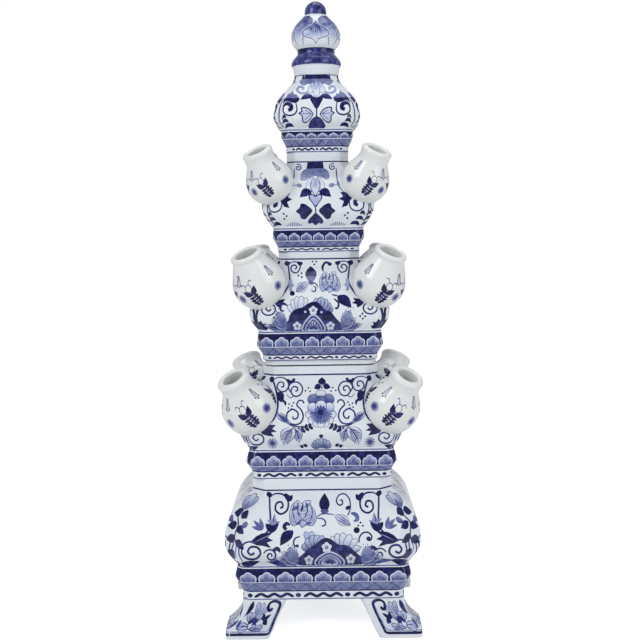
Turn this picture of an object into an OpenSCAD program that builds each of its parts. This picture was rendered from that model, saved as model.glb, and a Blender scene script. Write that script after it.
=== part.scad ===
// Tulipiere: a four-sided flower tower in tiers, with canted corners and jar-shaped corner spouts.
// The tower is 136 mm across its base bowl and 441 mm high, and stands on four splayed bracket feet.
// Origin: the middle of the footprint on the table. +Z is up and the front faces -Y.

/* [Walls and seats] */
// Wall thickness of the hollow tiers
wall = 4.5; // [3:0.5:6]
// Thickness of each tier's floor
floor_t = 4; // [3:0.5:8]
// Wall thickness of the spouts
spout_wall = 3.5; // [2:0.5:5]
// Slip joint left round a spout where it is luted into its tier
lute_gap = 0.2; // [0.1:0.05:0.4]
// Play between the lift-off section's collar and the mouth that it drops into
seat_play = 0.8; // [0.4:0.1:2]
// Depth of that collar
collar_h = 8; // [4:0.5:14]
// Height of the plain set-back strip above the open seam
seam_h = 4; // [2:0.5:8]
// How far that strip is set back from the rim below
seam_in = 2; // [0:0.5:4]
// Corner cant on every moulding, measured along one side
moulding_cant = 4.5; // [3:0.5:8]

/* [Feet] */
// Height of the bracket feet
foot_h = 24; // [12:1:50]
// Width of a foot under the bowl
foot_w = 31; // [18:1:44]
// How far a foot's toe flares out past the bowl
foot_splay = 11.5; // [0:0.5:20]
// How far a foot's inner edge slants outwards
foot_slant = 13; // [0:0.5:16]
// Height of the upright toe
toe_h = 6; // [3:0.5:10]

/* [Base bowl] */
// Width across the flats at the wave band
base_w = 112; // [90:1:140]
// Height of the wave band
base_wave_h = 6; // [3:0.5:12]
// Height of the triangle band
base_lattice_h = 11; // [5:0.5:18]
// Height of the shell band
base_shell_h = 8; // [4:0.5:14]
// How far the moulding's arris stands out from the wave band
base_arris_out = 5; // [2:0.5:9]
// How far the body's foot steps back from the arris
base_waist_in = 2; // [0.5:0.5:4]
// How far the bulge stands out from the body's foot
base_bulge_out = 9; // [4:0.5:16]
// Height of the bulge above the body's foot
base_bulge_h = 15; // [8:1:24]
// Height of the body
base_body_h = 50; // [36:1:80]
// Width of the neck across the flats
base_neck_w = 97; // [82:1:108]
// Height of the plain strip round the neck
base_rim_h = 8; // [3:0.5:14]
// Corner cant at the bulge
base_bulge_cant = 16; // [6:0.5:24]
// Corner cant at the neck
base_neck_cant = 9; // [4:0.5:16]
// Slope of the shoulder where it meets the neck, 0 for upright
base_flare = 0.5; // [0:0.05:0.8]

/* [Lower tier] */
// Height of the wave band
lower_wave_h = 5; // [3:0.5:10]
// Height of the triangle band
lower_lattice_h = 7; // [4:0.5:14]
// Height of the shell band
lower_shell_h = 9; // [4:0.5:14]
// How far the moulding's arris stands out from the wave band
lower_arris_out = 4; // [2:0.5:8]
// How far the body's foot steps back from the arris
lower_waist_in = 2.5; // [0.5:0.5:4]
// How far the bulge stands out from the body's foot
lower_bulge_out = 8; // [3:0.5:14]
// Height of the bulge above the body's foot
lower_bulge_h = 17; // [8:1:24]
// Height of the body
lower_body_h = 50; // [42:1:76]
// Width of the neck across the flats
lower_neck_w = 80; // [70:1:90]
// Height of the plain strip round the mouth
lower_rim_h = 6; // [3:0.5:12]
// Corner cant at the bulge
lower_bulge_cant = 11; // [5:0.5:18]
// Corner cant at the neck
lower_neck_cant = 8; // [4:0.5:14]
// Slope of the shoulder where it meets the neck, 0 for upright
lower_flare = 0.2; // [0:0.05:0.8]

/* [Middle tier] */
// Height of the wave band
middle_wave_h = 4; // [3:0.5:10]
// Height of the triangle band
middle_lattice_h = 7; // [4:0.5:14]
// Height of the shell band
middle_shell_h = 10; // [4:0.5:14]
// How far the moulding's arris stands out from the wave band
middle_arris_out = 4; // [2:0.5:8]
// How far the body's foot steps back from the arris
middle_waist_in = 1.5; // [0.5:0.5:4]
// How far the bulge stands out from the body's foot
middle_bulge_out = 6; // [3:0.5:12]
// Height of the bulge above the body's foot
middle_bulge_h = 12; // [8:1:22]
// Height of the body
middle_body_h = 49; // [42:1:76]
// Width of the neck across the flats
middle_neck_w = 57; // [50:1:66]
// Height of the plain strip round the neck
middle_rim_h = 5; // [3:0.5:12]
// Corner cant at the bulge
middle_bulge_cant = 9; // [5:0.5:16]
// Corner cant at the neck
middle_neck_cant = 7; // [4:0.5:12]
// Slope of the shoulder where it meets the neck, 0 for upright
middle_flare = 0.1; // [0:0.05:0.8]

/* [Upper tier] */
// Height of the wave band
upper_wave_h = 3.5; // [2:0.5:8]
// Height of the triangle band
upper_lattice_h = 6.5; // [4:0.5:12]
// Height of the shell band
upper_shell_h = 7; // [4:0.5:12]
// How far the moulding's arris stands out from the wave band
upper_arris_out = 3.5; // [2:0.5:7]
// How far the body's foot steps back from the arris
upper_waist_in = 0.5; // [0.5:0.5:3]
// How far the bulge stands out from the body's foot
upper_bulge_out = 7.5; // [3:0.5:12]
// Height of the bulge above the body's foot
upper_bulge_h = 15; // [8:1:22]
// Height of the body
upper_body_h = 46; // [40:1:70]
// Width of the neck across the flats
upper_neck_w = 43.5; // [38:0.5:52]
// Height of the plain strip round the neck
upper_rim_h = 6.5; // [3:0.5:12]
// Corner cant at the bulge
upper_bulge_cant = 8; // [4:0.5:14]
// Corner cant at the neck
upper_neck_cant = 6; // [4:0.5:10]
// Slope of the shoulder where it meets the neck, 0 for upright
upper_flare = 0.1; // [0:0.05:0.8]

/* [Crown vase] */
// Height of the wave band
crown_wave_h = 4; // [2:0.5:8]
// Height of the triangle band
crown_lattice_h = 7; // [4:0.5:12]
// Height of the shell band
crown_shell_h = 5; // [3:0.5:10]
// How far the moulding's arris stands out from the wave band
crown_arris_out = 3.5; // [2:0.5:7]
// How far the body's foot steps back from the arris
crown_waist_in = 0.5; // [0.5:0.5:3]
// How far the bulge stands out from the body's foot
crown_bulge_out = 5.5; // [3:0.5:10]
// Height of the bulge above the body's foot
crown_bulge_h = 8.5; // [5:0.5:16]
// Height of the body
crown_body_h = 38.5; // [28:0.5:60]
// Width of the neck across the flats
crown_neck_w = 31; // [26:0.5:38]
// Corner cant at the bulge
crown_bulge_cant = 8; // [4:0.5:14]
// Corner cant at the neck
crown_neck_cant = 7; // [4:0.5:10]
// Slope of the shoulder where it meets the neck, 0 for upright
crown_flare = 0; // [0:0.05:0.8]

/* [Lower spouts] */
// Diameter of the jar's belly
lower_ball_d = 39; // [28:0.5:48]
// Height of the belly's middle above the tier body's foot
lower_ball_h = 29; // [24:0.5:36]
// How far the belly's middle stands out from the canted corner
lower_ball_out = -2; // [-6:0.5:8]
// Lean of the jar away from upright, in degrees
lower_tilt = 34; // [10:1:50]
// Diameter of the neck
lower_spout_neck_d = 23; // [18:0.5:28]
// Length of the neck, from the shoulder to the middle of the rim
lower_spout_neck_h = 6.5; // [1:0.5:9]
// Diameter of the rolled rim
lower_rim_d = 24; // [22:0.5:34]
// Thickness of the rolled rim
lower_roll_d = 5.5; // [4:0.5:8]
// Diameter of the mouth
lower_bore_d = 14; // [8:0.5:16]
// Distance from the belly's middle to the lip
lower_reach = 27.5; // [24:0.5:36]

/* [Middle spouts] */
// Diameter of the jar's belly
middle_ball_d = 37; // [28:0.5:44]
// Height of the belly's middle above the tier body's foot
middle_ball_h = 33; // [26:0.5:38]
// How far the belly's middle stands out from the canted corner
middle_ball_out = 7; // [-4:0.5:11]
// Lean of the jar away from upright, in degrees
middle_tilt = 30; // [10:1:45]
// Diameter of the neck
middle_spout_neck_d = 21.5; // [18:0.5:28]
// Length of the neck, from the shoulder to the middle of the rim
middle_spout_neck_h = 2; // [0.5:0.5:6]
// Diameter of the rolled rim
middle_rim_d = 23; // [20:0.5:32]
// Thickness of the rolled rim
middle_roll_d = 4; // [3:0.5:8]
// Diameter of the mouth
middle_bore_d = 15.5; // [8:0.5:17]
// Distance from the belly's middle to the lip
middle_reach = 24.5; // [23:0.5:34]

/* [Upper spouts] */
// Diameter of the jar's belly
upper_ball_d = 33; // [26:0.5:38]
// Height of the belly's middle above the tier body's foot
upper_ball_h = 32; // [26:0.5:36]
// How far the belly's middle stands out from the canted corner
upper_ball_out = 6; // [-4:0.5:9]
// Lean of the jar away from upright, in degrees
upper_tilt = 30; // [8:1:40]
// Diameter of the neck
upper_spout_neck_d = 20.5; // [16:0.5:24]
// Length of the neck, from the shoulder to the middle of the rim
upper_spout_neck_h = 6; // [1:0.5:8]
// Diameter of the rolled rim
upper_rim_d = 21.5; // [18:0.5:28]
// Thickness of the rolled rim
upper_roll_d = 4.5; // [3:0.5:6.5]
// Diameter of the mouth
upper_bore_d = 13; // [7:0.5:15]
// Distance from the belly's middle to the lip
upper_reach = 24; // [20:0.5:32]

/* [Finial] */
// Diameter of the plain band at the finial's foot
band_d = 30.5; // [26:0.5:36]
// Height of that band
band_h = 6.5; // [3:0.5:10]
// Diameter over the cushion ring
cushion_d = 35.5; // [31:0.5:42]
// Height of the cushion ring
cushion_h = 9.5; // [5:0.5:12]
// Diameter of the neck under the bulb
stem_d = 26.5; // [22:0.5:30]
// Height of that neck
stem_h = 3; // [1:0.5:8]
// Diameter of the bulb
bulb_d = 35; // [30:0.5:44]
// Height of the bulb
bulb_h = 23; // [14:0.5:26]
// Diameter of the knob
knob_d = 15.5; // [10:0.5:20]
// Height of the knob above the bulb
knob_h = 11.5; // [9:0.5:22]
// Diameter of the hollow up the finial's middle
finial_hollow_d = 17; // [10:0.5:20]

/* [Hidden] */
$fn = 72;
CORNERS = ["front_left", "front_right", "rear_right", "rear_left"];
GLAZE = [0.93, 0.93, 0.95];
COBALT = [0.17, 0.27, 0.55];
// The first corner is the front left one, and the rest follow anticlockwise seen from above
FIRST_CORNER = 225;
QUARTER = 90;
// Steps in the under-curve and the shoulder of each body
UNDER_STEPS = 5;
SHOULDER_STEPS = 10;
FOOT_STEPS = 8;
// How long the shoulder runs on upright at the bulge, and how long it bends into the neck
SHOULDER_RISE = 0.55;
SHOULDER_DROP = 0.3;
// Cuts run this far past the faces that they open
PAST = 1;
// Thinnest cant that an inner wall keeps
LEAST_CANT = 0.4;

// Each tier stands on the one below, and its foot is as wide as the neck that carries it
base_z = foot_h;
base_body_z = base_z + base_wave_h + base_lattice_h + base_shell_h;
lower_z = base_body_z + base_body_h + base_rim_h;
lower_body_z = lower_z + lower_wave_h + lower_lattice_h + lower_shell_h;
seam_z = lower_body_z + lower_body_h + lower_rim_h;
middle_z = seam_z + seam_h;
middle_body_z = middle_z + middle_wave_h + middle_lattice_h + middle_shell_h;
upper_z = middle_body_z + middle_body_h + middle_rim_h;
upper_body_z = upper_z + upper_wave_h + upper_lattice_h + upper_shell_h;
crown_z = upper_body_z + upper_body_h + upper_rim_h;
crown_body_z = crown_z + crown_wave_h + crown_lattice_h + crown_shell_h;
finial_z = crown_body_z + crown_body_h;

function bezier(a, b, c, d, t) =
    a * pow(1 - t, 3) + b * 3 * t * pow(1 - t, 2) + c * 3 * t * t * (1 - t) + d * pow(t, 3);
function mix(a, b, t) = a + (b - a) * t;

// Rings are [height, width across the flats, cant], from the foot of a moulding upwards
function moulding_rings(z, w, wave_h, lattice_h, shell_h, arris_w, waist_w) = [
    [z, w, moulding_cant],
    [z + wave_h, w, moulding_cant],
    [z + wave_h + lattice_h, arris_w, moulding_cant],
    [z + wave_h + lattice_h + shell_h, waist_w, moulding_cant]
];

// The bombe body: an under-curve out to the bulge, then a shoulder drawn in to the neck
function under_rings(z, waist_w, bulge_w, bulge_h, bulge_cant) = [
    for (i = [1:UNDER_STEPS])
        let (t = i / UNDER_STEPS)
        [z + bulge_h * t, mix(waist_w, bulge_w, sin(QUARTER * t)), mix(moulding_cant, bulge_cant, t)]
];
function shoulder_rings(z, bulge_w, bulge_h, body_h, neck_w, bulge_cant, neck_cant, flare) = [
    for (i = [1:SHOULDER_STEPS])
        let (t = i / SHOULDER_STEPS, rise = body_h - bulge_h, bend_w = mix(neck_w, bulge_w, flare))
        [
            z + bulge_h + rise * bezier(0, SHOULDER_RISE, 1 - SHOULDER_DROP, 1, t),
            bezier(bulge_w, bulge_w, bend_w, neck_w, t),
            mix(bulge_cant, neck_cant, t)
        ]
];
function tier_rings(z, w, wave_h, lattice_h, shell_h, arris_out, waist_in, bulge_out, bulge_h,
                    body_h, neck_w, rim_h, bulge_cant, neck_cant, flare) =
    let (
        body_z = z + wave_h + lattice_h + shell_h,
        arris_w = w + 2 * arris_out,
        waist_w = arris_w - 2 * waist_in,
        bulge_w = waist_w + 2 * bulge_out
    )
    concat(
        moulding_rings(z, w, wave_h, lattice_h, shell_h, arris_w, waist_w),
        under_rings(body_z, waist_w, bulge_w, bulge_h, bulge_cant),
        shoulder_rings(body_z, bulge_w, bulge_h, body_h, neck_w, bulge_cant, neck_cant, flare),
        rim_h > 0 ? [[body_z + body_h + rim_h, neck_w, neck_cant]] : []
    );

base_rings = tier_rings(base_z, base_w, base_wave_h, base_lattice_h, base_shell_h, base_arris_out,
    base_waist_in, base_bulge_out, base_bulge_h, base_body_h, base_neck_w, base_rim_h,
    base_bulge_cant, base_neck_cant, base_flare);
lower_rings = tier_rings(lower_z, base_neck_w, lower_wave_h, lower_lattice_h, lower_shell_h,
    lower_arris_out, lower_waist_in, lower_bulge_out, lower_bulge_h, lower_body_h, lower_neck_w,
    lower_rim_h, lower_bulge_cant, lower_neck_cant, lower_flare);
seam_ring = [seam_z, lower_neck_w - 2 * seam_in, moulding_cant];
middle_rings = concat([seam_ring, [middle_z, seam_ring[1], moulding_cant]],
    tier_rings(middle_z, lower_neck_w, middle_wave_h, middle_lattice_h, middle_shell_h,
        middle_arris_out, middle_waist_in, middle_bulge_out, middle_bulge_h, middle_body_h,
        middle_neck_w, middle_rim_h, middle_bulge_cant, middle_neck_cant, middle_flare));
upper_rings = tier_rings(upper_z, middle_neck_w, upper_wave_h, upper_lattice_h, upper_shell_h,
    upper_arris_out, upper_waist_in, upper_bulge_out, upper_bulge_h, upper_body_h, upper_neck_w,
    upper_rim_h, upper_bulge_cant, upper_neck_cant, upper_flare);
crown_rings = tier_rings(crown_z, upper_neck_w, crown_wave_h, crown_lattice_h, crown_shell_h,
    crown_arris_out, crown_waist_in, crown_bulge_out, crown_bulge_h, crown_body_h, crown_neck_w,
    0, crown_bulge_cant, crown_neck_cant, crown_flare);

// One ring's eight corners, anticlockwise from the right-hand side of the front
function ring_points(r) =
    let (a = r[1] / 2, b = a - r[2])
    [for (p = [[a, -b], [a, b], [b, a], [-b, a], [-a, b], [-a, -b], [-b, -a], [b, -a]]) [p[0], p[1], r[0]]];

// A solid lofted through rings of eight corners
module loft(rings) {
    sides = 8;
    last = (len(rings) - 1) * sides;
    polyhedron(
        points = [for (r = rings) each ring_points(r)],
        faces = concat(
            [[for (j = [0:sides - 1]) j]],
            [
                for (i = [0:len(rings) - 2]) for (j = [0:sides - 1])
                    let (k = (j + 1) % sides)
                    [i * sides + j, (i + 1) * sides + j, (i + 1) * sides + k, i * sides + k]
            ],
            [[for (j = [sides - 1:-1:0]) last + j]]
        )
    );
}

// The same ring one wall further in, with the cant drawn in alike
function inset(r, t) = [r[0], r[1] - 2 * t, max(LEAST_CANT, r[2] - (2 - sqrt(2)) * t)];
function width_at(rings, z) = lookup(z, [for (r = rings) [r[0], r[1]]]);
function cant_at(rings, z) = lookup(z, [for (r = rings) [r[0], r[2]]]);
// Distance from the tower's axis to the canted corner at a height
function corner_at(rings, z) = (width_at(rings, z) - cant_at(rings, z)) / sqrt(2);

// The hollow of a tier above its floor, open at the top
module hollow(rings, floor_z) {
    start = [floor_z, width_at(rings, floor_z), cant_at(rings, floor_z)];
    top = rings[len(rings) - 1];
    above = concat([start], [for (r = rings) if (r[0] > floor_z) r], [[top[0] + PAST, top[1], top[2]]]);
    loft([for (r = above) inset(r, wall)]);
}

// Stands a spout, or the socket for one, on a tier's corner
module on_corner(rings, i, ball_z, ball_out, tilt) {
    rotate(FIRST_CORNER + QUARTER * i)
        translate([corner_at(rings, ball_z) + ball_out, 0, ball_z])
            rotate([0, tilt, 0])
                children();
}

module sockets(rings, ball_z, ball_out, ball_d) {
    for (i = [0:len(CORNERS) - 1])
        on_corner(rings, i, ball_z, ball_out, 0)
            sphere(d = ball_d + 2 * lute_gap);
}

// Turn up from level at which a line from the point [x, z] touches a circle about the origin
function touch_turn(r, x, z) = atan2(z, x) - acos(min(1, r / norm([x, z])));

// A jar-shaped spout about its belly's middle: belly, coned shoulder, neck, rolled rim, open at both ends
module spout(ball_d, neck_d, neck_h, rim_d, roll_d, bore_d, reach) {
    belly_r = ball_d / 2;
    roll_z = reach - roll_d / 2;
    neck_z = roll_z - neck_h;
    turn = touch_turn(belly_r, neck_d / 2, neck_z);
    shoulder = belly_r * [cos(turn), sin(turn)];
    foot_hole = bore_d / 2 + spout_wall;
    color(GLAZE)
        rotate_extrude()
            difference() {
                union() {
                    intersection() {
                        circle(r = belly_r);
                        translate([0, -belly_r])
                            square([belly_r, 2 * belly_r]);
                    }
                    polygon([[0, 0], shoulder, [neck_d / 2, neck_z], [neck_d / 2, roll_z], [0, roll_z]]);
                    translate([rim_d / 2 - roll_d / 2, roll_z])
                        circle(d = roll_d);
                }
                intersection() {
                    circle(r = belly_r - spout_wall);
                    translate([0, -belly_r])
                        square([belly_r, 2 * belly_r]);
                }
                square([bore_d / 2, reach + PAST]);
                translate([0, -belly_r - PAST])
                    square([foot_hole, belly_r + PAST]);
            }
}

// A foot's outer edge, from under the bowl down to the toe: [distance from the axis, height]
function foot_edge(i) =
    let (t = i / FOOT_STEPS)
    [base_w / 2 + foot_splay * t * t, mix(foot_h, toe_h, t)];
foot_edges = concat([for (i = [0:FOOT_STEPS]) foot_edge(i)], [[base_w / 2 + foot_splay, 0]]);
foot_inside = base_w / 2 - foot_w;

module bracket_side() {
    rotate([QUARTER, 0, 0])
        linear_extrude(height = 2 * base_w, center = true)
            polygon(concat(foot_edges, [[foot_inside + foot_slant, 0], [foot_inside, foot_h]]));
}

// Keeps the bowl's canted corner all the way down the foot
module bracket_corner() {
    rotate([QUARTER, 0, 0])
        linear_extrude(height = 2 * base_w, center = true)
            polygon(concat(
                [for (e = foot_edges) [(2 * e[0] - moulding_cant) / sqrt(2), e[1]]],
                [[0, 0], [0, foot_h]]
            ));
}

module foot(i) {
    color(GLAZE)
        rotate(FIRST_CORNER + QUARTER * i)
            intersection() {
                rotate(-QUARTER / 2) bracket_side();
                rotate(QUARTER / 2) bracket_side();
                bracket_corner();
            }
}

module base_bowl() {
    color(GLAZE)
        difference() {
            loft(base_rings);
            hollow(base_rings, base_z + floor_t);
        }
}

// Open above and below, so that the bowl and this tier hold their water together
module lower_tier() {
    foot_ring = lower_rings[0];
    below = [foot_ring[0] - PAST, foot_ring[1], foot_ring[2]];
    color(GLAZE)
        difference() {
            loft(lower_rings);
            hollow(concat([below], lower_rings), below[0]);
            sockets(lower_rings, lower_body_z + lower_ball_h, lower_ball_out, lower_ball_d);
        }
}

// The lift-off section's first tier, with the collar that drops into the lower tier's mouth
module middle_tier() {
    mouth = inset([seam_z, lower_neck_w, lower_neck_cant], wall + seat_play);
    rim = inset(mouth, wall);
    color(GLAZE)
        difference() {
            union() {
                loft(middle_rings);
                loft([for (z = [seam_z - collar_h, seam_z]) [z, mouth[1], mouth[2]]]);
            }
            loft([for (z = [seam_z - collar_h - PAST, seam_z]) [z, rim[1], rim[2]]]);
            hollow(middle_rings, seam_z + floor_t);
            sockets(middle_rings, middle_body_z + middle_ball_h, middle_ball_out, middle_ball_d);
        }
}

module upper_tier() {
    color(GLAZE)
        difference() {
            loft(upper_rings);
            hollow(upper_rings, upper_z + floor_t);
            sockets(upper_rings, upper_body_z + upper_ball_h, upper_ball_out, upper_ball_d);
        }
}

module crown_vase() {
    color(GLAZE)
        difference() {
            loft(crown_rings);
            hollow(crown_rings, crown_z + floor_t);
        }
}

// Turned finial: plain band, cushion ring, neck, flattened bulb and domed knob, hollow from below
module finial() {
    cushion_z = band_h + cushion_h / 2;
    bulb_z = band_h + cushion_h + stem_h + bulb_h / 2;
    knob_z = bulb_z + bulb_h / 2;
    color(COBALT)
        translate([0, 0, finial_z])
            rotate_extrude()
                difference() {
                    intersection() {
                        finial_outline(cushion_z, bulb_z, knob_z);
                        square([cushion_d + bulb_d, knob_z + knob_h]);
                    }
                    translate([0, -PAST])
                        square([finial_hollow_d / 2, bulb_z + PAST]);
                }
}

module finial_outline(cushion_z, bulb_z, knob_z) {
    dome_z = knob_z + knob_h - knob_d / 2;
    flat_r = bulb_d / 2 - bulb_h / 2;
    square([band_d / 2, band_h]);
    square([stem_d / 2, bulb_z]);
    translate([cushion_d / 2 - cushion_h / 2, cushion_z])
        circle(d = cushion_h);
    translate([flat_r, bulb_z])
        circle(d = bulb_h);
    translate([0, bulb_z - bulb_h / 2])
        square([flat_r, bulb_h]);
    square([knob_d / 2, dome_z]);
    translate([0, dome_z])
        circle(d = knob_d);
}

module lower_spout(i) {
    on_corner(lower_rings, i, lower_body_z + lower_ball_h, lower_ball_out, lower_tilt)
        spout(
            lower_ball_d, lower_spout_neck_d, lower_spout_neck_h, lower_rim_d, lower_roll_d, lower_bore_d,
            lower_reach
        );
}

module middle_spout(i) {
    on_corner(middle_rings, i, middle_body_z + middle_ball_h, middle_ball_out, middle_tilt)
        spout(
            middle_ball_d, middle_spout_neck_d, middle_spout_neck_h, middle_rim_d, middle_roll_d, middle_bore_d,
            middle_reach
        );
}

module upper_spout(i) {
    on_corner(upper_rings, i, upper_body_z + upper_ball_h, upper_ball_out, upper_tilt)
        spout(
            upper_ball_d, upper_spout_neck_d, upper_spout_neck_h, upper_rim_d, upper_roll_d, upper_bore_d,
            upper_reach
        );
}

base_bowl();
lower_tier();
middle_tier();
upper_tier();
crown_vase();
finial();
for (i = [0:len(CORNERS) - 1]) {
    foot(i);
    lower_spout(i);
    middle_spout(i);
    upper_spout(i);
}
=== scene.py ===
"""Painted looks of the tulipiere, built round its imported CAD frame."""

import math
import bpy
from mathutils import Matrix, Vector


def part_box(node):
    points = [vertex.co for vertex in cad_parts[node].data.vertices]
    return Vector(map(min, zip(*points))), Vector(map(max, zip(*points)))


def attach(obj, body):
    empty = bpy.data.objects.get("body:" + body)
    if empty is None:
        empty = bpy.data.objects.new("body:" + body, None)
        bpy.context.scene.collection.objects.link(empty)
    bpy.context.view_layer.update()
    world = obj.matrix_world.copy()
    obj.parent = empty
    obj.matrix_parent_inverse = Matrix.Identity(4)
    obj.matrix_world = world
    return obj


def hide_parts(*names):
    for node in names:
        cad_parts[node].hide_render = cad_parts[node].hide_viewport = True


bl_info = {
    "name": "Tulipiere Looks",
    "version": (1, 0, 0),
    "blender": (4, 5, 0),
    "location": "View3D > Sidebar > Tulipiere",
    "description": "Builds the glazed and painted pieces of the tulipiere and its studio",
    "category": "Object",
}

from collections import namedtuple

import bmesh
import bpy
import numpy as np
from mathutils import Matrix, Vector
from mathutils.geometry import delaunay_2d_cdt

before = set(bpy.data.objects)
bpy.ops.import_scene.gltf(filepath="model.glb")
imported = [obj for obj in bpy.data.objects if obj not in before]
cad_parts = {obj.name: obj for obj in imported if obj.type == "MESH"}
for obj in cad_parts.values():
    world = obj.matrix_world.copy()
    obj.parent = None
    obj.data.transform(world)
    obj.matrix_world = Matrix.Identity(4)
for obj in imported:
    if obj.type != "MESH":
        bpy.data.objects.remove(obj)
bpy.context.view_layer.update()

MM = 0.001
MERGE = 0.004
SIDES = 4
CORNERS = ("front_left", "front_right", "rear_right", "rear_left")
LOWER_BODY, UPPER_BODY = "lower_section", "upper_section"

# Pigment from bare glaze to the darkest blue, with the colours that the glaze shows at the main steps
WHITE, MIST, PALE, LILAC, SOFT, MID, COBALT, DEEP, NAVY = 0.0, 0.12, 0.25, 0.34, 0.46, 0.6, 0.76, 0.9, 1.0
DUSK, DIM, HAZE, STEEL, WORN, SLATE, INK = 0.42, 0.5, 0.56, 0.66, 0.7, 0.84, 0.95
BLUES = (
    (MIST, (196, 203, 219)), (PALE, (170, 179, 208)), (LILAC, (148, 158, 194)), (SOFT, (114, 123, 161)),
    (MID, (76, 86, 142)), (COBALT, (46, 52, 116)), (DEEP, (15, 19, 80)), (NAVY, (3, 6, 58)),
)
TILE_WHITE, SPOUT_WHITE = (214, 219, 225), (216, 218, 217)
# Bare clay, where there is no glaze; its dark colour is also painted shade, for the shadow in the open seam's
# gap
CLAY_AND_SEAM_SHADE, CLAY_AND_SEAM_SHADE_COLOUR = -1.0, (52, 42, 40)

# How much broader the scenes are brushed than they are drawn
BRUSH = 1.18

# Sizes in millimetres, named as in the construction
Tier = namedtuple(
    "Tier",
    "node body strip foot_z foot_w wave lattice shell arris waist bulge bulge_h body_h neck_w rim "
    "bulge_cant neck_cant flare",
)
BASE = Tier("base_bowl", LOWER_BODY, 0, 24, 112, 6, 11, 8, 5, 2, 9, 15, 50, 97, 8, 16, 9, 0.5)
LOWER = Tier("lower_tier", LOWER_BODY, 0, 107, 97, 5, 7, 9, 4, 2.5, 8, 17, 50, 80, 6, 11, 8, 0.2)
MIDDLE = Tier("middle_tier", UPPER_BODY, 4, 188, 80, 4, 7, 10, 4, 1.5, 6, 12, 49, 57, 5, 9, 7, 0.1)
UPPER = Tier("upper_tier", UPPER_BODY, 0, 263, 57, 3.5, 6.5, 7, 3.5, 0.5, 7.5, 15, 46, 43.5, 6.5, 8, 6, 0.1)
CROWN = Tier("crown_vase", UPPER_BODY, 0, 332.5, 43.5, 4, 7, 5, 3.5, 0.5, 5.5, 8.5, 38.5, 31, 0, 8, 7, 0.0)
MOULDING_CANT = 4.5
SEAM_IN = 2.0
LEDGE = 0.05
HARD_EDGE = 0.1
WALL = 4.5
COLLAR_H = 8.0
SEAT_PLAY = 0.8

Spout = namedtuple(
    "Spout",
    "tier body ball_d ball_h out tilt neck_d neck_h rim_d roll_d bore_d reach sprig_x sprig_z tassel_z",
)
LOWER_SPOUT = Spout(LOWER, LOWER_BODY, 39, 29, -2, 34, 23, 6.5, 24, 5.5, 14, 27.5, 15.6, 5.4, 18.4)
MIDDLE_SPOUT = Spout(MIDDLE, UPPER_BODY, 37, 33, 7, 30, 21.5, 2, 23, 4, 15.5, 24.5, 9.4, 1.6, 14.6)
UPPER_SPOUT = Spout(UPPER, UPPER_BODY, 33, 32, 6, 30, 20.5, 6, 21.5, 4.5, 13, 24, 9.4, 3.2, 14.4)
SPOUT_WALL = 3.5
# How far glaze fills the hollows of a spout
GLAZE_POOL = 1.6
# Keeps a round rim inside the faceted one of the construction
RIM_TRIM = 0.1

# The belly radius that the sprigs are drawn for
SPRIG_BELLY = 19.5
SPRIG_LEAN = 18

FOOT_H, FOOT_W, FOOT_SPLAY, TOE_H, FOOT_SLANT = 24.0, 31.0, 11.4, 6.0, 13.0
FOOT_HOLLOW = 2.6
FOOT_ROUND = 0.18
FINIAL_Z = 387.0
FINIAL_BLUE, FINIAL_WASH = 0.86, 1.6
# Heights over FINIAL_Z and radii
FINIAL_PROFILE = (
    (0, 15.2), (0.4, 15.6), (6.2, 16.6), (7, 17.2), (8.4, 17.75), (9.8, 17.6), (11.6, 16.8), (13.4, 15.4),
    (15, 14), (16, 13.3), (18.6, 13.25), (19.2, 13.5), (19.8, 14), (21.4, 15.4), (24, 16.9), (27, 17.45),
    (29.5, 17.4), (32.5, 16.6), (35.5, 15), (38, 13), (40, 11), (41.4, 9.6), (42, 9.2), (42.6, 9), (43, 8),
    (43.3, 7.75), (46, 7.7), (48.4, 7.2), (50.4, 6), (52, 4.2), (53, 2.2), (53.45, 0.6),
)

# Line width on a moulding, and how far its shells and bands stand clear of its edges
RULE = 0.6
SHELL_LAP = 3.5
FLAT_GAP = 0.4
LATTICE_LEAN = 0.4

# A profile turns sharply past SHARP_TURN; smooth shading breaks past CREASE
SHARP_TURN = math.radians(12)
CREASE = math.radians(38)
FOOT_SEAM = 2e-5
BRUSH_SCALE, RIPPLE_SCALE, RIPPLE_DEPTH = 260, 70, 0.0004
GLAZE_SPECULAR = 0.36
TINY = 1e-9
HALVINGS = 40

# The studio, in metres and degrees
FAR = 6.0
TARGET = Vector((0, 0, 0.22))
LAMPS = (("key", (-0.9, -1.0, 1.0), 9.0, 0.7), ("fill", (1.0, -0.9, 0.7), 6.0, 0.8),
         ("top", (0.1, 0.2, 1.6), 7.0, 1.0))
LENS, SENSOR = 60.4, 36.0
EYE_AWAY, EYE_HEIGHT, EYE_AZIMUTH, EYE_PITCH, EYE_ROLL = 0.78, 0.2747, 0.4, 4.53, -0.85


def mix(a, b, t):
    return a + (b - a) * t


def bezier(a, b, c, d, t):
    return a * (1 - t) ** 3 + 3 * b * t * (1 - t) ** 2 + 3 * c * t * t * (1 - t) + d * t**3


def body_z(tier):
    return tier.foot_z + tier.wave + tier.lattice + tier.shell


def stroke(base, tip):
    """Both ends of a stroke, and the unit vector across it."""
    a, b = np.array(base, float), np.array(tip, float)
    along = b - a
    return a, b, np.array([-along[1], along[0]]) / max(np.hypot(*along), TINY)


def heading(degrees):
    """Cosine and sine of an angle."""
    return math.cos(math.radians(degrees)), math.sin(math.radians(degrees))


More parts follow.
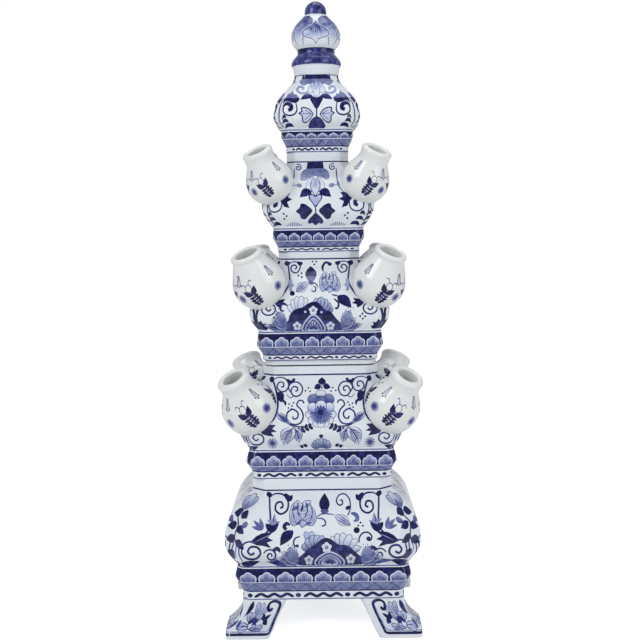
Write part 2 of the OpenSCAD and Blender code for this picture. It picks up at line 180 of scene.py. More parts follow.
# Curves and shapes on the flat, in millimetres
def spline(points, closed=False, step=0.7):
    """A smooth line through points, as many short chords."""
    p = np.asarray(points, float)
    n = len(p)
    runs = []
    for i in range(n if closed else n - 1):
        near = np.arange(i - 1, i + 3)
        a, b, c, d = p[near % n if closed else np.clip(near, 0, n - 1)]
        t = np.linspace(0, 1, max(2, math.ceil(np.hypot(*(c - b)) / step)), endpoint=False)[:, None]
        runs.append(b + 0.5 * t * (c - a + t * (2 * a - 5 * b + 4 * c - d + t * (3 * (b - c) + d - a))))
    if not closed:
        runs.append(p[-1:])
    return np.vstack(runs)


def chords(points, step=1.0):
    """The straight-sided outline through points, with no chord longer than step."""
    p = np.asarray(points, float)
    runs = []
    for a, b in zip(p, np.roll(p, -1, axis=0)):
        t = np.linspace(0, 1, max(1, math.ceil(np.hypot(*(b - a)) / step)), endpoint=False)[:, None]
        runs.append(a + t * (b - a))
    return np.vstack(runs)


class Sheet:
    """Painted shapes across and up one surface, later ones over earlier ones."""

    # Height of a belly that leans to the viewer, and how far past any surface a ring runs
    span = 50.0
    beyond = 400.0

    def __init__(self, origin=0.0, swell=0.0, surface=None):
        self.surface = surface
        self.origin = origin
        self.swell = swell
        self.shift = 0.0
        self.flip = 1.0
        self.spread = 1.0
        self.brush = 1.0
        self.shapes = []
        self.levels = []

    def up(self, z):
        """A drawn height on the piece; a leaning belly lifts the heights on it by the swell."""
        z = np.asarray(z, float)
        return z + self.swell * np.sin(math.pi * np.clip(z / self.span, 0, 1) ** 0.55) + self.origin

    def both(self):
        """Yields twice, for a shape drawn on the right and mirrored on the left."""
        for self.flip in (1.0, -1.0):
            yield self
        self.flip = 1.0

    def add(self, outlines, tone):
        """One painted shape of closed outlines, turned anticlockwise; the shift may change with height."""
        placed = []
        for outline in outlines:
            p = np.array(outline, float)
            p[:, 1] = self.up(p[:, 1])
            shift = self.shift(p[:, 1]) if callable(self.shift) else self.shift
            p[:, 0] = self.flip * self.spread * p[:, 0] + shift
            x, z = p.T
            area = np.dot(x, np.roll(z, -1)) - np.dot(z, np.roll(x, -1))
            placed.append(p if area > 0 else p[::-1])
            placed += self.carried(placed[-1])
        self.shapes.append((placed, tone))

    def carried(self, outline):
        """The copy of a shape that runs over a side edge, as it comes in again at the other edge."""
        if self.surface is None:
            return []
        low, high = self.surface.limits(outline[:, 1])
        over = 1.0 if (outline[:, 0] < low).any() else -1.0 if (outline[:, 0] > high).any() else 0.0
        return [outline + np.stack([over * (high - low), np.zeros(len(low))], 1)] if over else []

    def ring(self, low, high, tone):
        """A band all the way round, between two heights."""
        low, high = float(self.up(low)), float(self.up(high))
        self.levels += [low, high]
        x = self.beyond
        self.shapes.append(([np.array([(-x, low), (x, low), (x, high), (-x, high)])], tone))

    def fill(self, points, tone):
        self.add([spline(points, closed=True)], tone)

    def poly(self, points, tone):
        self.add([chords(points)], tone)

    def line(self, points, width, tone, start=0.4, end=0.4, taper=0.3):
        """A brush line whose width begins and ends at a share of the full one."""
        p = spline(points)
        way = np.gradient(p, axis=0)
        way /= np.maximum(np.hypot(way[:, 0], way[:, 1]), TINY)[:, None]
        t = np.linspace(0, 1, len(p))
        slim = np.minimum(start + (1 - start) * t / taper, end + (1 - end) * (1 - t) / taper)
        half = 0.5 * self.brush * width * np.minimum(1, slim)
        side = np.stack([-way[:, 1], way[:, 0]], 1) * half[:, None]
        a, b = p + side, p - side
        self.add([[b[i], b[i + 1], a[i + 1], a[i]] for i in range(len(p) - 1)], tone)

    def blob(self, x, z, rx, rz, tone, turn=0.0):
        n = max(8, int(5 * max(rx, rz)))
        t = np.linspace(0, 2 * math.pi, n, endpoint=False)
        c, s = heading(turn)
        u, w = rx * np.cos(t), rz * np.sin(t)
        self.add([np.stack([x + u * c - w * s, z + u * s + w * c], 1)], tone)

    def dots(self, places, r, tone=NAVY):
        for x, z in places:
            self.blob(x, z, r, r, tone)

    def leaf(self, base, tip, width, tone, bend=0.0, belly=0.8):
        """A pointed leaf; belly under 1 carries its widest part towards the base."""
        a, b, across = stroke(base, tip)
        along = b - a
        t = np.linspace(0, 1, max(7, int(np.hypot(*along) / 0.8)))[:, None]
        spine = a + along * t + across * bend * np.sin(math.pi * t)
        half = 0.5 * width * np.sin(math.pi * t**belly)
        self.add([np.vstack([spine - across * half, (spine + across * half)[-2:0:-1]])], tone)

    def petal(self, base, tip, width, tone, rim=0.45, rim_tone=DEEP, core=None):
        """A round-ended petal with a painted outline and, if given, a darker core."""
        a, b, across = stroke(base, tip)
        along = b - a
        length = max(np.hypot(*along), TINY)
        unit = along / length
        t = np.linspace(0, 1, max(9, int(length / 0.6)))[:, None]
        shape = np.sqrt(np.clip(np.sin(math.pi * t**1.25), 0, 1))

        def outline(grow):
            half = (0.5 * width + grow) * shape * mix(0.55, 1, t)
            spine = a - unit * grow + unit * (length + 2 * grow) * t
            return np.vstack([spine - across * half, (spine + across * half)[-2:0:-1]])

        self.add([outline(rim)], rim_tone)
        self.add([outline(0.0)], tone)
        if core is not None:
            self.leaf(a + along * 0.05, a + along * 0.6, width * 0.5, core)

    def spiral(self, x, z, r, start, turns, width, tone):
        """Winds inward from a start angle in degrees, anticlockwise for turns over 0."""
        n = max(8, int(abs(turns) * 12))
        t = np.linspace(0, 1, n)
        a = math.radians(start) + 2 * math.pi * turns * t
        rr = r * (1 - 0.88 * t**0.8)
        self.line(np.stack([x + rr * np.cos(a), z + rr * np.sin(a)], 1), width, tone, 0.7, 0.7)

    def acanthus(self, x, z, size, turn, tone, lobes, spread):
        """A leaf of pointed lobes that fan out about a turn in degrees."""
        points = [(0.12, turn - 180.0)]
        for i in range(lobes):
            f = i / (lobes - 1)
            a = turn + spread * (f - 0.5)
            points += [(0.42, a - spread / (2 * lobes)), (1 - 0.28 * abs(2 * f - 1), a)]
        points.append((0.42, turn + spread * (0.5 + 0.5 / lobes)))
        c, s = heading(turn)
        out = []
        for r, a in points:
            u, w = (size * r * share for share in heading(a - turn))
            out.append((x + u * c - w * s, z + u * s + w * c))
        self.poly(out, tone)

    def tuft(self, x, z, r, rays, width, tone, first=0.0, sweep=360.0):
        """Short strokes that ray out from one place."""
        for i in range(rays):
            c, s = heading(first + sweep * i / rays)
            self.line([(x + 0.15 * r * c, z + 0.15 * r * s), (x + r * c, z + r * s)], width, tone, 0.5, 0.9)

    def blossom(self, x, z, r, petals=5):
        """A small open flower of round petals with a dark eye."""
        for i in range(petals):
            c, s = heading(90 + 360 * i / petals)
            self.blob(x + 0.6 * r * c, z + 0.6 * r * s, 0.44 * r, 0.44 * r, MIST)
        self.blob(x, z, 0.34 * r, 0.34 * r, DEEP)
        self.blob(x, z, 0.14 * r, 0.14 * r, MIST)

    def floret(self, x, z, rx, rz, tone):
        """A round petal with a thin painted outline."""
        self.blob(x, z, rx + 0.35, rz + 0.35, DEEP)
        self.blob(x, z, rx, rz, tone)

    def peony(self, x, z, w, h):
        """A full flower: one scalloped pale head, loosely streaked and darker where its petals part."""

        def at(u, v):
            return x + 0.5 * w * u, z + 0.5 * h * v

        head = ((-0.97, 0.15), (-0.82, 0.62), (-0.5, 0.93), (-0.3, 0.98), (-0.1, 0.76), (0.15, 0.96),
                (0.6, 0.94), (0.58, 0.6), (0.84, 0.36), (1.0, -0.28), (0.86, -0.7), (0.6, -0.88),
                (0.26, -0.82), (-0.06, -1.0), (-0.3, -0.74), (-0.64, -0.88), (-0.88, -0.66), (-0.96, -0.3))
        self.fill([at(1.05 * u, 1.05 * v) for u, v in head], DEEP)
        self.fill([at(u, v) for u, v in head], (LILAC, MIST))
        gaps = (((-0.86, 0.3), (-0.16, 0.66), 0.3, MID), ((-0.1, 0.2), (0.04, 0.8), 0.24, COBALT),
                ((0.1, 0.46), (0.6, 0.84), 0.26, SOFT), ((-0.5, -0.8), (-0.1, -0.58), 0.2, MID),
                ((0.14, -0.82), (0.74, -0.6), 0.24, MID))
        for base, tip, wide, tone in gaps:
            self.leaf(at(*base), at(*tip), 0.5 * h * wide, tone)
        edges = (((-0.62, 0.82), (-0.76, 0.2), (-0.5, -0.66)), ((0.56, 0.8), (0.74, 0.1), (0.5, -0.68)),
                 ((-0.3, 0.9), (-0.4, 0.3), (-0.08, -0.4)), ((0.2, 0.9), (0.36, 0.3), (0.06, -0.4)),
                 ((-0.56, -0.8), (-0.02, -0.42), (0.54, -0.82)))
        for edge in edges:
            self.line([at(*spot) for spot in edge], 0.55, DEEP, 0.7, 0.5)
        for v in (-0.55, -0.3, -0.05, 0.2):
            self.line([at(0, v), at(0.2, v + 0.1), at(0.44, v + 0.3)], 0.5, MID, 0.9, 0.3)
            self.line([at(-0.06, v), at(-0.26, v + 0.14), at(-0.42, v + 0.42)], 0.5, MID, 0.9, 0.3)
        for u in (0.5, 0.62, 0.74, 0.86):
            self.line([at(u - 0.06, -0.62), at(u, -0.1), at(u - 0.1, 0.3)], 0.4, SOFT, 0.8, 0.3)
            self.line([at(0.06 - u, -0.66), at(-u, -0.1), at(0.08 - u, 0.26)], 0.4, SOFT, 0.8, 0.3)
        for u in (-0.45, -0.05, 0.3):
            self.line([at(u, 0.88), at(u + 0.06, 0.6), at(u + 0.02, 0.4)], 0.5, COBALT, 0.9, 0.3)

    def striped(self, base, tip, width):
        """A slender pale bud, streaked along its length and darkest at its tip."""
        a, b, across = stroke(base, tip)
        self.leaf(base, tip, width + 0.8, DEEP, 0, 1.2)
        self.leaf(base, tip, width, MIST, 0, 1.2)
        for s in (-0.26, 0.0, 0.26):
            side = s * width * across
            self.leaf(mix(a, b, 0.3) + side, mix(a, b, 0.98) + 0.6 * side, 0.2 * width, SOFT)
            self.line([mix(a, b, 0.12) + 0.6 * side, mix(a, b, 0.6) + 1.1 * side, b], 0.35, COBALT, 0.5, 1)

    def plume(self, base, tip, width, rays=9):
        """A pale tuft brushed over with fine fanned strokes that end in dots."""
        a, b, across = stroke(base, tip)
        self.leaf(base, tip, width, (SOFT, LILAC), 0, 1.1)
        for s in np.linspace(-0.5, 0.5, rays):
            end = mix(a, b, 1.0 - 0.9 * s * s) + s * width * across
            ray = [a + 0.15 * s * width * across, mix(a, end, 0.6) + 0.2 * s * width * across, end]
            self.line(ray, 0.5, MID, 0.7, 0.7)
            self.blob(*end, 0.45, 0.45, COBALT)

    def hatched(self, base, tip, width, ground, veins, bend=0.0):
        """An outlined leaf with a midrib and strong slanting veins."""
        self.leaf(base, tip, width + 1.0, DEEP, bend)
        self.leaf(base, tip, width, (ground, MIST), bend)
        a, b, across = stroke(base, tip)

        def spine(t):
            return a + (b - a) * t + across * bend * math.sin(math.pi * t)

        self.line([spine(t) for t in (0.0, 0.3, 0.6, 0.9)], 0.6, DEEP, 1, 0.3)
        for i in range(veins):
            t = 0.12 + 0.62 * i / veins
            for s in (-1, 1):
                end = spine(t + 0.2) + s * across * 0.42 * width * math.sin(math.pi * t**0.8)
                self.line([spine(t), end], 0.5, COBALT, 1, 0.5)

    def nest(self, x, low, foot, waist, rise, rows):
        """Arches one inside the other, each (half width, height, tone)."""
        for wide, tall, tone in rows:
            side, shoulder = waist * wide, rise * tall
            self.fill([(x - wide, low), (x - side, shoulder), (x, tall), (x + side, shoulder),
                       (x + wide, low), (x, foot)], tone)

    def crumbs(self, places, low, high, notch, sag):
        """Dark flecks, each (across, up, width), one over the other."""
        for x, z, wide in places:
            self.fill([(x + 0.5 * wide, z - low), (x + 0.3 * wide, z + 1.4), (x - 0.2 * wide, z + high),
                       (x - 0.5 * wide, z - notch), (x, z - sag)], NAVY)

    def curl(self, points, width, heavy):
        """A scroll whose inner end is loaded with pigment."""
        self.line(points, width, DEEP, 0.6, 1)
        self.line(points[4:], heavy, NAVY, 0.2, 0.8, 0.6)


# Bands that run round a moulding
def shell_band(sheet, low, high, half, count):
    """A dark band of scallop shells, each ribbed from its foot."""
    sheet.ring(low, high, NAVY)
    pitch, h = 2 * half / count, high - low
    lobes = ((0.0, 0.42, 0.2, 0.27), (-0.24, 0.28, 0.16, 0.23), (0.24, 0.28, 0.16, 0.23))
    for i in range(count):
        x = -half + pitch * (i + 0.5)
        for grow, tone in ((0.055, MIST), (0.0, (MID, LILAC))):
            wide, top = (0.37 + grow) * pitch, low + 0.32 * h
            sheet.poly([(x - wide, low), (x + wide, low), (x + wide, top), (x - wide, top)], tone)
            for u, v, ru, rv in lobes:
                sheet.blob(x + u * pitch, low + v * h, (ru + grow) * pitch, rv * h + grow * pitch, tone)
        for u in (-0.31, -0.21, -0.1, 0.0, 0.1, 0.21, 0.31):
            rib = low + (0.46 - 0.6 * abs(u)) * h
            sheet.line([(x + u * pitch, low), (x + u * pitch, rib)], 0.42, COBALT, 1, 0.6)


def lattice_band(sheet, low, high, half, count):
    """A dim band of hatched triangles."""
    sheet.ring(low, high, DIM)
    pitch, h = 2 * half / count, high - low
    peak, foot = high - 0.06 * h, low + 0.06 * h
    for i in range(count):
        x = -half + pitch * (i + 0.5)
        for k in (0.2, 0.4, 0.6, 0.8):
            up = [(x - 0.42 * pitch * (1 - k), mix(foot, peak, k)), (x + 0.84 * pitch * (k - 0.5), foot)]
            sheet.line(up, 0.3, MID, 1, 1)
            down = [(x + 0.5 * pitch * k, peak), (x + 0.5 * pitch, mix(peak, foot, 1 - k))]
            sheet.line(down, 0.26, SOFT, 1, 1)
        for k in (-1, 1):
            sheet.line([(x + 0.48 * k * pitch, foot), (x, peak)], 0.55, COBALT, 1, 1)


def wave_band(sheet, low, high, half, count):
    """A white band of running waves, with a bead between each two."""
    sheet.ring(low, high, WHITE)
    pitch, h = 2 * half / count, high - low
    mid = (low + high) / 2
    for i in range(count):
        x = -half + pitch * (i + 0.5)
        crest = [(u, -0.2 * math.cos(6 * math.pi * (u + 0.4) / 0.8)) for u in np.linspace(-0.4, 0.4, 25)]
        sheet.line([(x + u * pitch, mid + v * h) for u, v in crest], 0.46 * h, NAVY, 0.6, 0.6, 0.06)
        for k in (-0.5, 0.5) if i == 0 else (0.5,):
            sheet.blob(x + 0.98 * k * pitch, mid, 0.058 * pitch, 0.34 * h, NAVY)


def moulding(sheet, tier, drop, shells, waves):
    """The three bands under a tier's body; the shells reach a little below the arris."""
    arris = -tier.shell - drop
    low = -tier.shell - tier.lattice
    flat = tier.foot_w / 2 - MOULDING_CANT - FLAT_GAP
    edge = flat + tier.arris * (1 - drop / tier.lattice)
    shell_band(sheet, arris, -3.2 * RULE, edge + SHELL_LAP, shells)
    lattice_band(sheet, low + RULE, arris - 1.7 * RULE, flat + LATTICE_LEAN * tier.arris, shells)
    wave_band(sheet, low - tier.wave + 1.4 * RULE, low - RULE, flat, waves)
    sheet.ring(-2.1 * RULE, -0.6 * RULE, MID)
    sheet.ring(arris - RULE, arris, MIST)
    sheet.ring(arris - 1.7 * RULE, arris - RULE, COBALT)
    sheet.ring(low - 0.6 * RULE, low + RULE, DEEP)
    sheet.ring(low - tier.wave, low - tier.wave + 1.3 * RULE, MID)


def side_of(tier):
    """A tier's painted side, with its edges as soft as the settings say."""
    look = settings()
    return CantedSide(tier, look.edge / MM, look.corner / MM)


def tier_sheet(tier, swell, drop, shells, waves):
    """A tier's side and its sheet, with the bands of the moulding painted."""
    side = side_of(tier)
    sheet = Sheet(body_z(tier), swell, side)
    moulding(sheet, tier, drop, shells, waves)
    sheet.brush = BRUSH
    return side, sheet


# The scenes painted on the four sides; up is measured from the body's foot
def base_sheet():
    side, s = tier_sheet(BASE, 3.3, 3.5, 9, 3)
    s.ring(49.5, 50.5, DEEP)
    s.spread, s.shift = 0.955, 1.4
    for s in s.both():
        s.line([(39.4, 46), (39, 39), (38.4, 32), (38.8, 26), (41.6, 22), (46, 18.8)], 1.15, DEEP, 0.9, 0.7)
        s.blob(39.6, 47.2, 2.3, 1.7, NAVY, 30)
        s.line([(38.6, 46.4), (34.6, 47.8), (29.4, 47), (25.9, 42.6), (26.6, 37.2), (31, 34.8),
                (34.8, 37.4), (34.2, 41.6), (30.8, 42.4), (29.6, 39.6), (31.6, 38.6)], 1.15, DEEP, 0.6, 1)
        s.line([(23, 46.8), (25, 44.4), (28.4, 47.6)], 3.0, NAVY, 0.15, 0.4)
        s.acanthus(36.4, 28.2, 7.4, 98, SOFT, 3, 130)
        s.line([(36.4, 29), (36, 34)], 0.6, COBALT)
        s.fill([(32.6, 29), (36.6, 27.4), (41.6, 28.6), (41, 24.6), (37.6, 22), (34, 24.4)], NAVY)
        for x, z in ((50.6, 31), (46, 32.6), (52, 26.6)):
            s.leaf((43.6, 24.4), (x, z), 3.0, MID)
        s.poly([(53, 15.7), (48.6, 19.8), (44.6, 21.8), (36.6, 22.6), (40.4, 18.9), (36.4, 16.8),
                (41, 15.4), (37.8, 11.6), (44, 13.2), (48, 13.6)], NAVY)
        s.line([(39, 20.6), (44, 18.4), (49, 16)], 0.5, SOFT)
        s.line([(48, 15.4), (53.6, 16.2), (58.6, 13.6), (59.4, 8.6), (55.6, 4.6), (49.6, 4.2), (45.8, 7.6),
                (47.2, 11.8), (52, 12.6), (54.6, 9.6), (52.4, 7.2), (50, 8.6)], 1.35, DEEP, 0.5, 1)
        s.line([(63, 14.6), (62.4, 8), (59, 2.4)], 1.3, COBALT, 0.8, 0.4)
        s.leaf((61, 0.8), (46, 2.6), 3.6, NAVY, 0.5)
        s.spiral(38.6, 6.2, 5.2, 20, 1.6, 1.1, DEEP)
        s.line([(31.6, 8.6), (33.6, 11.4), (36.4, 9.8)], 2.2, NAVY, 0.3, 1)
        s.tuft(34, 0.4, 4.8, 8, 0.8, COBALT, 25, 150)
    # peony, buds and their stems
    s.line([(-6.6, 30.8), (-4, 33.4), (-1, 34.6), (4, 34.4), (7.4, 33.6)], 0.8, COBALT)
    s.line([(-5, 31.4), (-2, 31.6), (0.6, 29.6), (0.4, 27), (-2, 26.4)], 0.9, COBALT, 0.6, 1)
    s.peony(-15.4, 34.4, 18.8, 17.4)
    s.leaf((0.2, 35.2), (0.4, 47.8), 7.6, NAVY, 0.2, 0.86)
    s.fill([(-2.8, 36.8), (0.2, 37.6), (3.2, 36.8), (2, 35), (0.2, 34.4), (-1.6, 35)], STEEL)
    s.striped((6.4, 34.4), (18.6, 26.6), 6.4)
    s.line([(16.8, 33.4), (18.6, 38), (18.2, 43.6), (14.8, 47), (10.6, 46.2), (8.8, 42.6), (10.6, 40),
            (13, 40.8), (13, 43), (11.4, 43)], 0.85, DEEP, 0.9, 1)
    s.leaf((15, 37.4), (18.8, 39.6), 2.6, NAVY, -0.3)
    s.line([(19, 34.8), (22.6, 33.6), (23.4, 30.6), (20.8, 29.4)], 2.4, MID, 0.4, 0.3)
    s.dots([(25.6, 28.4), (24, 26.4), (27.2, 26.2)], 0.75)
    s.leaf((-22.2, 23.6), (-31.6, 13), 7.2, NAVY, -1.0)
    s.line([(-27.2, 24), (-28.6, 26.6), (-26.6, 28.4), (-24.4, 27.2)], 2.2, NAVY, 0.9, 0.4)
    s.line([(-17.4, 19.2), (-20.4, 18.4), (-22, 15.6), (-21.2, 12.8), (-19.2, 12.6)], 1.0, DEEP, 0.6, 1)
    s.blob(-19.4, 13, 1.1, 1.0, NAVY)
    # rockery with its petals
    for x, z in ((-13.8, 22.4), (-9.4, 22.6)):
        s.petal((-8, 12), (x, z), 5.0, (SOFT, PALE), 0.4, COBALT)
    for x, z in ((-16.2, 13), (-13.6, 17), (-9.6, 19.6), (-5.4, 20.2), (-1.4, 19.6)):
        s.petal((-4, 8), (x, z), 6.4, (COBALT, PALE))
    for x, z in ((5, 19), (25, 11.4), (8.6, 20.8), (22.6, 16.8), (13.2, 21.4), (18.4, 20.2)):
        s.petal((12.4, 7.4), (x, z), 5.6, (MID, WHITE), 0.45)
    s.blob(22.8, 23.2, 2.3, 2.2, NAVY)
    scroll = [(24.2, 14.6), (24.9, 18.7), (27.9, 21.6), (31.6, 21.2), (33.4, 18.6), (32.4, 16.2),
              (30.4, 16.4), (30, 18.2)]
    s.line(scroll, 1.0, DEEP, 0.9, 1)
    s.blob(31.2, 17.6, 1.4, 1.3, DEEP)
    s.fill([(-22.5, 0.4), (-19.6, 3.9), (-15.1, 7.7), (-11.4, 11), (-6.2, 14), (-2.5, 17.1), (1.2, 18.2),
            (4.9, 17), (7.9, 14.8), (10.8, 13.3), (14.5, 13.2), (18.2, 11.7), (21.2, 8.8), (24.2, 6.2),
            (28.4, 3.6), (31.4, 0.4), (4, -0.2)], INK)
    s.fill([(-6.4, 13.6), (-2.5, 16.9), (1.2, 18), (4.9, 16.8), (7.8, 14.6), (4.4, 13.6), (1, 13),
            (-3, 12.8)], NAVY)
    arches = ((10.8, 9.0, PALE), (9.5, 7.8, SLATE), (8.2, 6.8, LILAC), (7.0, 5.8, STEEL), (6.0, 5.0, PALE))
    s.nest(3.4, 0.2, -0.2, 0.74, 0.6, arches)
    s.tuft(3.4, 0.2, 4.6, 7, 0.9, COBALT, 15, 165)
    for x, z, r in ((1.4, 11.6, 3.6), (-11.4, 3.0, 3.2), (18.4, 3.4, 3.4)):
        s.blossom(x, z, r)
    for x, way in ((-20.4, -1), (27.6, 1)):
        s.leaf((x - way, 0.6), (x + 22 * way, 2.2), 3.4, COBALT, 0.5)
        s.hatched((x - way, 0.6), (x + 14.6 * way, 4.6), 5.6, SOFT, 7)
        s.hatched((x - way, 0.6), (x + 11 * way, 9.4), 6.4, SOFT, 7)
        s.plume((x - way, 0.8), (x + 4.6 * way, 11.6), 7.6)
        s.dots([(x + (1.4 * i - 1.6) * way, 12 + 1.4 * (i % 2)) for i in range(6)], 0.45, COBALT)
    # flowering branch down the canted corner
    s.spread, s.shift = 1.0, cant_line(side)
    s.line([(0, 38), (-1.6, 32), (1.6, 26), (-0.4, 18), (1.6, 10), (0.6, 4)], 1.1, DEEP)
    for x, tip in ((-5.2, 45), (5.2, 45)):
        s.petal((0, 36.6), (x, tip), 6.4, (MID, PALE))
    s.petal((0, 36), (0, 47), 6.6, (SOFT, MIST), core=MID)
    leaves = ((35.6, -7, 33.6), (34.6, 7.4, 32), (27, -8.8, 24), (24.4, 8.8, 21.4), (18, -9.4, 13.8),
              (15, 9.4, 10.6), (8, -7.6, 3.6))
    for z, x, tip in leaves:
        s.leaf((0.2, z), (x, tip), 6.2, NAVY, 0.5)
    for x, z in ((-9.6, 30.6), (9.6, 28.6)):
        s.petal((0.5 * x, z - 3.2), (x, z), 4.4, (COBALT, SOFT))
    return s


def lower_sheet():
    side, s = tier_sheet(LOWER, 1.9, 2.6, 9, 3)
    s.ring(49.6, 50.7, DEEP)
    for s in s.both():
        s.fill([(32, 48.4), (35.4, 48.8), (36.2, 46.4), (33.4, 45)], NAVY)
        s.line([(33.4, 48), (31, 41), (29.4, 34), (29.6, 27), (32, 20.6), (38, 14.6)], 1.1, DEEP, 0.9, 0.6)
        s.line([(32.6, 46.8), (29.4, 48.4), (24.6, 47.6), (22, 43.6), (23.6, 39.6), (27.4, 39), (30, 41.8),
                (28.6, 45), (25.8, 44.8), (25.6, 42.2), (27.2, 42)], 0.85, DEEP, 0.6, 1)
        s.line([(18, 47.6), (19.4, 45.4), (22, 45.6), (22.6, 47.4)], 2.0, NAVY, 0.7, 0.4)
        scroll = [(23.4, 37), (21, 34.8), (19, 36), (22, 41), (20, 44.6), (15.4, 44.8), (12.4, 41),
                  (14, 36.6), (18, 35.8), (20.4, 39), (18.6, 42), (16, 41.4), (16, 39.4), (17.4, 39.2)]
        s.line(scroll, 0.85, DEEP, 0.4, 1)
        s.fill([(29.8, 38.4), (26, 38.2), (25, 35.4), (26.2, 32), (28.8, 33.4)], NAVY)
        s.line([(26.4, 33.4), (24.2, 31.6), (24.4, 29.6)], 1.4, NAVY, 1, 0.3)
        s.dots([(8.4, 41), (10.4, 39.2), (7.2, 38.8)], 0.65)
        s.dots([(21.6, 30.6), (19.6, 29.4), (22, 28), (18.6, 31.4), (20, 27.4)], 0.65)
        s.line([(11.4, 31), (12.6, 32.8), (15, 32.6), (16.2, 29.8), (13.4, 26.6), (12, 22), (14, 17.6),
                (18.6, 16.6), (22.8, 19.4), (22.8, 24.6), (19, 27), (15.6, 24.6), (16, 21.2), (18.4, 20.4),
                (19.2, 22.2)], 0.95, DEEP, 0.9, 1)
        s.line([(30.4, 24.8), (25, 20), (19, 15.6), (9, 15)], 0.9, DEEP, 0.5, 0.6)
        s.hatched((30.2, 24.8), (20.8, 17), 4.0, SOFT, 7)
        for x, z in ((6.6, 15.6), (9.2, 14.6), (11.8, 13.4), (14.4, 12.2)):
            s.line([(x - 1.0, z - 2.4), (x + 1.0, z - 0.2), (x + 0.4, z + 2.2)], 2.0, NAVY, 0.6, 0.4)
        s.hatched((18.2, 14.4), (15, 3.4), 6.0, LILAC, 5, -0.8)
        s.hatched((18.6, 14.6), (26, 1.8), 9.0, PALE, 6, 1.2)
        s.leaf((9.4, 1.2), (12.6, 2.6), 2.2, NAVY)
        s.leaf((12, 0.8), (15, 1.8), 2.0, NAVY)
        s.tuft(33.4, 3.8, 3.6, 12, 0.7, MID)
        s.blob(33.4, 3.8, 1.6, 1.6, COBALT)
        s.poly([(42, 12.6), (38.6, 15.6), (34.6, 16.8), (30.6, 16.4), (33.2, 13.8), (30, 11.8), (34, 11.2),
                (32, 8.2), (37, 9), (40, 10)], NAVY)
        s.line([(38, 12), (43.6, 13), (48.6, 11.4), (50.6, 7.4), (47.6, 3.4), (42.6, 2.8), (39.4, 5.4),
                (40.2, 9), (44, 10.2), (46.6, 7.8), (44.6, 5.6), (42.8, 6.8)], 0.95, DEEP, 0.5, 1)
        s.leaf((50, 1), (43, 1.6), 2.4, NAVY, 0.6)
        s.line([(50.6, 13.4), (52.6, 8), (50.6, 2)], 1.0, COBALT, 0.6, 0.4)
    for x, tip, wide in ((1, (1, 48.2), 5.6), (0.4, (-4.6, 40.6), 4.2), (1.6, (7, 41), 4.2)):
        s.leaf((x, 42.8), tip, wide, NAVY)
    s.line([(1, 42.4), (0.8, 40)], 0.7, DEEP)
    # the single flower
    s.floret(0.2, 36.6, 3.6, 2.8, (LILAC, WHITE))
    for x in (-5.0, 5.4):
        s.floret(x, 33.4, 3.8, 3.4, (COBALT, SOFT))
    s.floret(0.2, 33, 4.0, 2.6, (COBALT, MID))
    for x, z, rx, rz in ((8, 23.4, 2.4, 2.3), (5.8, 19.4, 2.9, 2.6), (2.8, 17.4, 2.7, 2.8)):
        s.floret(-x, z, rx, rz, (WHITE, PALE))
        s.floret(x, z, rx, rz, (WHITE, PALE))
    s.floret(0, 17, 2.6, 2.6, (WHITE, PALE))
    for x, z, r in ((-5.6, 28, 3.2), (5.8, 28, 3.2), (0.2, 29, 3.6)):
        s.floret(x, z, r, r, (SOFT, WHITE))
    s.blob(0, 23.6, 5.4, 4.8, SOFT)
    s.tuft(0, 24.4, 7.6, 13, 1.1, MID, 185, 180)
    s.tuft(0, 24.8, 4.6, 12, 1.1, COBALT)
    s.blob(0, 24.8, 2.0, 1.8, NAVY)
    # the bud at the foot
    for x, tip in ((-6.4, 2.8), (6.4, 2.8), (-5, 4.8), (5, 4.8), (-2.6, 6.2), (2.6, 6.2), (0, 6.8)):
        s.petal((0.4 * x, 0.2), (x, tip), 3.8, (MID, PALE), 0.4)
    s.blob(0, 8.2, 1.6, 1.4, NAVY)
    s.shift = cant_line(side)
    corner_sprig(s, 24.0, 34.0)
    return s


